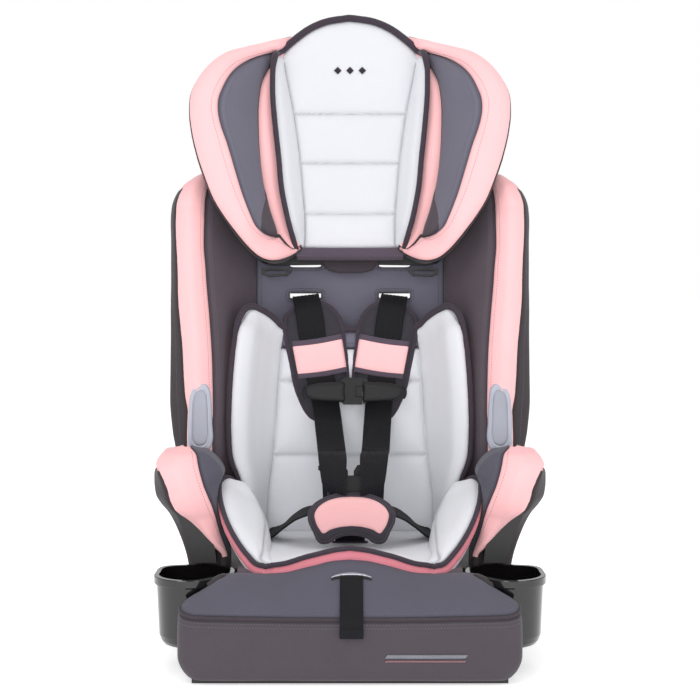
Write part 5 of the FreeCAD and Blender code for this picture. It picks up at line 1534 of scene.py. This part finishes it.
def shoulder_pad(side, tag):
    shift = 0 if side > 0 else 1.5

    def place(a, b, h):
        return back(a * side + shift, -36.5 - h, b)
    name = "shoulder_pad_%s_" % tag
    outline = curve(SHOULDER_PAD, 140, closed=True)
    pad = cushion(name + "body", outline, [(-48, 238), (-42, 160)], place, high=8.5,
                  low=3.0, mats=[PAD], rings=26, wide=13, edge=0.8, body="backrest")
    tube(name + "binding", place(outline[:, 0], outline[:, 1], 1.6), 3.3, PIPING,
         "backrest", closed=True, ripple=0.06)
    centre = outline.mean(0)
    inset = centre + (outline - centre) * [0.83, 0.92]
    stitches(name + "stitch", place(inset[:, 0], inset[:, 1], 7.4), FORWARD, THREAD_DARK,
             "backrest", r=0.35)
    u = np.linspace(0, 1, 40)
    e = np.abs(2 * u - 1)
    for part, start, end, lift, mat, rise in CUFFS:
        rows = []
        for q in np.linspace(start, end, 22):
            a, b = [ends[0] + (ends[1] - ends[0]) * q for ends in (CUFF_OUTER, CUFF_INNER)]
            p = a + (b - a) * u[:, None]
            p[:, 1] -= 1.6 * np.sin(np.pi * u)
            h = lift + rise * (1 - e**8)**0.5 - 5.0 * smooth((e - 0.93) / 0.07)
            h = h - 1.2 * abs(2 * (q - start) / (end - start) - 1)**6
            rows.append(place(p[:, 0], p[:, 1], h))
        slab(name + part, np.array(rows), 3.0, [mat], body="backrest")
    return pad


# ----------------------------------------------------------------- crotch pad
# left halves of the outlines (across, up) of the pad and of its patch
CROTCH_PAD = [(0, -8.5), (-12, -10), (-21, -13.5), (-28, -18.5), (-37.5, -19), (-46, -5),
              (-51.5, 8), (-51.5, 16), (-46, 25), (-36, 32), (-18, 38), (0, 39.2)]
CROTCH_PATCH = [(0, 0.6), (-14, -0.8), (-26, -4.2), (-34.8, -8.4), (-39.5, -3), (-44.2, 7),
                (-45.4, 14.5), (-42, 22), (-33, 29.6), (-17, 35.2), (0, 36.4)]
CROTCH_HIGH, CROTCH_RIM, CROTCH_ROUND = 13.0, 4.0, 9.0


def crotch_pad():
    place = tilted((2, -60.5, 160.5), 8)
    pad = mirror_loop(curve(CROTCH_PAD, 70))
    rim = np.column_stack([pad, np.zeros(len(pad))])

    def face(a, b):
        """Height of the pad's face, falling away towards its outline."""
        d, _ = near(np.column_stack([a, b, 0 * a]), [rim])
        return CROTCH_RIM + (CROTCH_HIGH - CROTCH_RIM) * dome(d, CROTCH_ROUND)
    ob = cushion("crotch_pad_body", pad, [(-24, 12), (24, 12)], place, high=CROTCH_HIGH,
                 low=0.0, mats=[PAD], rings=24, wide=CROTCH_ROUND, edge=CROTCH_RIM,
                 body="crotch_pad")
    tube("crotch_pad_binding",
         place(pad[:, 0] * 0.985, (pad[:, 1] - 12) * 0.985 + 12, CROTCH_RIM),
         2.6, PIPING, "crotch_pad", closed=True, ripple=0.05)
    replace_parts(ob, "crotch_pad")
    patch = mirror_loop(curve(CROTCH_PATCH, 60))
    cushion("crotch_pad_patch", patch, [(-18, 15), (18, 15)],
            lambda a, b, h: place(a, b, face(a, b) - 1.2 + h), high=4.0, low=1.5,
            mats=[PINK], rings=20, wide=8, edge=1.4, body="crotch_pad")
    trim = place(patch[:, 0] * 1.01, (patch[:, 1] - 15) * 1.01 + 15,
                 face(patch[:, 0], patch[:, 1]) - 0.2)
    tube("crotch_pad_patch_trim", trim, 1.2, PIPING, "crotch_pad", closed=True)


# ---------------------------------------------------------------- chest clip
# (across, up) on the clip's face: the left wing, the bar at its end, an outline
CLIP_WING = [(-12.6, 11.6), (-24, 12.2), (-38, 11.6), (-50, 10.0), (-58, 7.6), (-62, 4),
             (-62.6, -1), (-61, -6), (-56, -9.4), (-46, -11.4), (-34, -12.6), (-22, -13.0),
             (-12.6, -12.8), (-12.2, 0)]
CLIP_END = np.array([(-63.5, 8), (-66, 3), (-66, -4), (-63.5, -9)])
CLIP_OUTLINE = [(17, 6.2), (24, 6.4), (29, 5.2), (31.2, 0), (29, -5.2), (24, -6.4),
                (17, -6.2), (16.4, 0)]


def chest_clip():
    place = tilted(back(5, -59, 153), 10, face=5.2)
    wing = curve(CLIP_WING, 110, closed=True)
    for (side, tag), body in zip(SIDES, ("chest_clip", "chest_clip_tongue")):
        cushion("chest_clip_wing_" + tag, wing * [side, 1],
                [(-50 * side, -0.5), (-22 * side, -0.5)], place, high=4.2, low=0.0,
                mats=[CLIP], rings=14, wide=7.0, edge=1.2, body=body)
        end = curve(CLIP_END * [side, 1], 24)
        tube("chest_clip_end_" + tag, place(end[:, 0], end[:, 1], -1.0), 1.5, CLIP, body)
    ring = curve(CLIP_OUTLINE, 60, closed=True)
    tube("chest_clip_outline", place(ring[:, 0], ring[:, 1], 4.1), 0.75, MOULD,
         "chest_clip_tongue", closed=True)


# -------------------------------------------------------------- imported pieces
PACKED = (
    (MOULD, "base_shell adjuster_housing backrest_shell headrest_rack headrest_shell"
            " headrest_slider shoulder_belt_guides headrest_handle"),
    (STEEL, "hinge_rod hinge_clips harness_anchors base_screws adjuster_pin adjuster_spring"
            " buckle_spring buckle_latch belt_guide_screws splitter_plate tether_hook"
            " tether_anchor tether_gate headrest_screws lock_spring lock_pin_left"
            " lock_pin_right"),
    (CLIP, "buckle_housing tongue_left tongue_right chest_clip_socket chest_clip_tongue"
           " chest_clip_button"),
    (BEZEL, "adjuster_bezel adjuster_lever"),
    (GLOSS, "cup_holder_left cup_holder_right"),
    (WEB, "splitter_strap tether_strap"),
    (RED, "buckle_button"),
    (FOAM, "head_foam"))
# bevel widths
BEVELS = (
    (2.0, "base_shell backrest_shell headrest_shell buckle_housing head_foam"),
    (1.6, "chest_clip_socket chest_clip_tongue"),
    (1.5, "headrest_handle"),
    (1.2, "shoulder_belt_guides"),
    (1.0, "cup_holder_left cup_holder_right"),
    (0.8, "buckle_button adjuster_bezel adjuster_housing headrest_slider"),
    (0.6, "chest_clip_button"),
    (0.5, "adjuster_lever splitter_plate tongue_left tongue_right tether_anchor"))


def by_name(table):
    return {name: value for value, names in table for name in names.split()}


def finish_packed():
    """Materials and bevelled edges for the pieces that came with the frame."""
    mats, bevels = by_name(PACKED), by_name(BEVELS)
    for name, node in NODES.items():
        if name in mats:
            node.data.materials.clear()
            node.data.materials.append(mats[name])
            for p in node.data.polygons:
                p.material_index = 0
        if name in bevels:
            bevel = node.modifiers.new("edge", "BEVEL")
            bevel.width = bevels[name] * MM
            bevel.segments = 3
            bevel.limit_method = "ANGLE"
            bevel.angle_limit = math.radians(40)
            bevel.harden_normals = False
            bevel.use_clamp_overlap = True


# ---------------------------------------------------------------- stage, light
def floor():
    me = bpy.data.meshes.new("floor")
    me.from_pydata([(-6, -6, 0), (6, -6, 0), (6, 8, 0), (-6, 8, 0)], [], [(0, 1, 2, 3)])
    ob = bpy.data.objects.new("floor", me)
    bpy.context.scene.collection.objects.link(ob)
    m, tree, bsdf = material("floor_white")
    fill(tree, bsdf, {"Base Color": (0.97, 0.97, 0.97, 1), "Roughness": 0.7,
                      "Emission Color": (1, 1, 1, 1), "Emission Strength": 0.42})
    me.materials.append(m)
    ob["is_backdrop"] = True


def studio_world():
    """White all round: dimmer as a light than as the backdrop the camera sees."""
    world = bpy.data.worlds.new("studio")
    bpy.context.scene.world = world
    world.use_nodes = True
    tree = world.node_tree
    ambient = tree.nodes["Background"]
    fill(tree, ambient, {"Color": (1, 1, 1, 1), "Strength": 0.74})
    backdrop = add(tree, "Background", {"Color": (1, 1, 1, 1), "Strength": 1.0})[0]
    camera_ray = add(tree, "LightPath")["Is Camera Ray"]
    shader = add(tree, "MixShader", {"Fac": camera_ray, 1: ambient.outputs[0], 2: backdrop})[0]
    fill(tree, tree.nodes["World Output"], {"Surface": shader})


def area(name, location, target, size, power):
    light = bpy.data.lights.new(name, "AREA")
    light.shape = "RECTANGLE"
    light.size, light.size_y = size
    light.energy = power
    ob = bpy.data.objects.new(name, light)
    bpy.context.scene.collection.objects.link(ob)
    ob.location = location
    aim = Vector(target) - Vector(location)
    ob.rotation_euler = aim.to_track_quat("-Z", "Y").to_euler()


def camera():
    data = bpy.data.cameras.new("camera")
    data.sensor_width = 36
    data.lens = 100.286
    ob = bpy.data.objects.new("camera", data)
    ob.location = (0, -2.408, 0.5605)
    ob.rotation_euler = (math.radians(85.5), 0, 0)
    bpy.context.scene.collection.objects.link(ob)
    bpy.context.scene.camera = ob


# ---------------------------------------------------------------------- build
head_wing()
head_pillow()
torso_bolster()
back_panel()
back_insert()
seat_insert()
base_cover()
armrest()
belt_guide()
for side, tag in SIDES:
    shoulder_strap(side, tag)
for side, tag in SIDES:
    lap_strap(side, tag)
centre_straps()
adjuster()
for side, tag in SIDES:
    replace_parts(shoulder_pad(side, tag), "shoulder_pad_" + tag)
crotch_pad()
chest_clip()
finish_packed()

floor()
studio_world()
area("key", location=(-1.3, -1.9, 2.1), target=(0, 0, 0.4), size=(1.4, 1.4), power=17)
area("fill", location=(1.8, -1.6, 1.2), target=(0, 0, 0.4), size=(1.2, 1.6), power=8)
area("top", location=(0, 0.2, 2.6), target=(0, 0, 0.3), size=(1.6, 1.2), power=9)
area("front", location=(0, -2.9, 0.75), target=(0, 0, 0.38), size=(1.1, 1.1), power=20)
camera()
bpy.context.scene.view_settings.view_transform = "Standard"

bpy.context.view_layer.update()
boxes = {"cad": cad_box, "visual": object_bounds()}
{key: [[float(v) for v in p] for p in box] for key, box in boxes.items()}
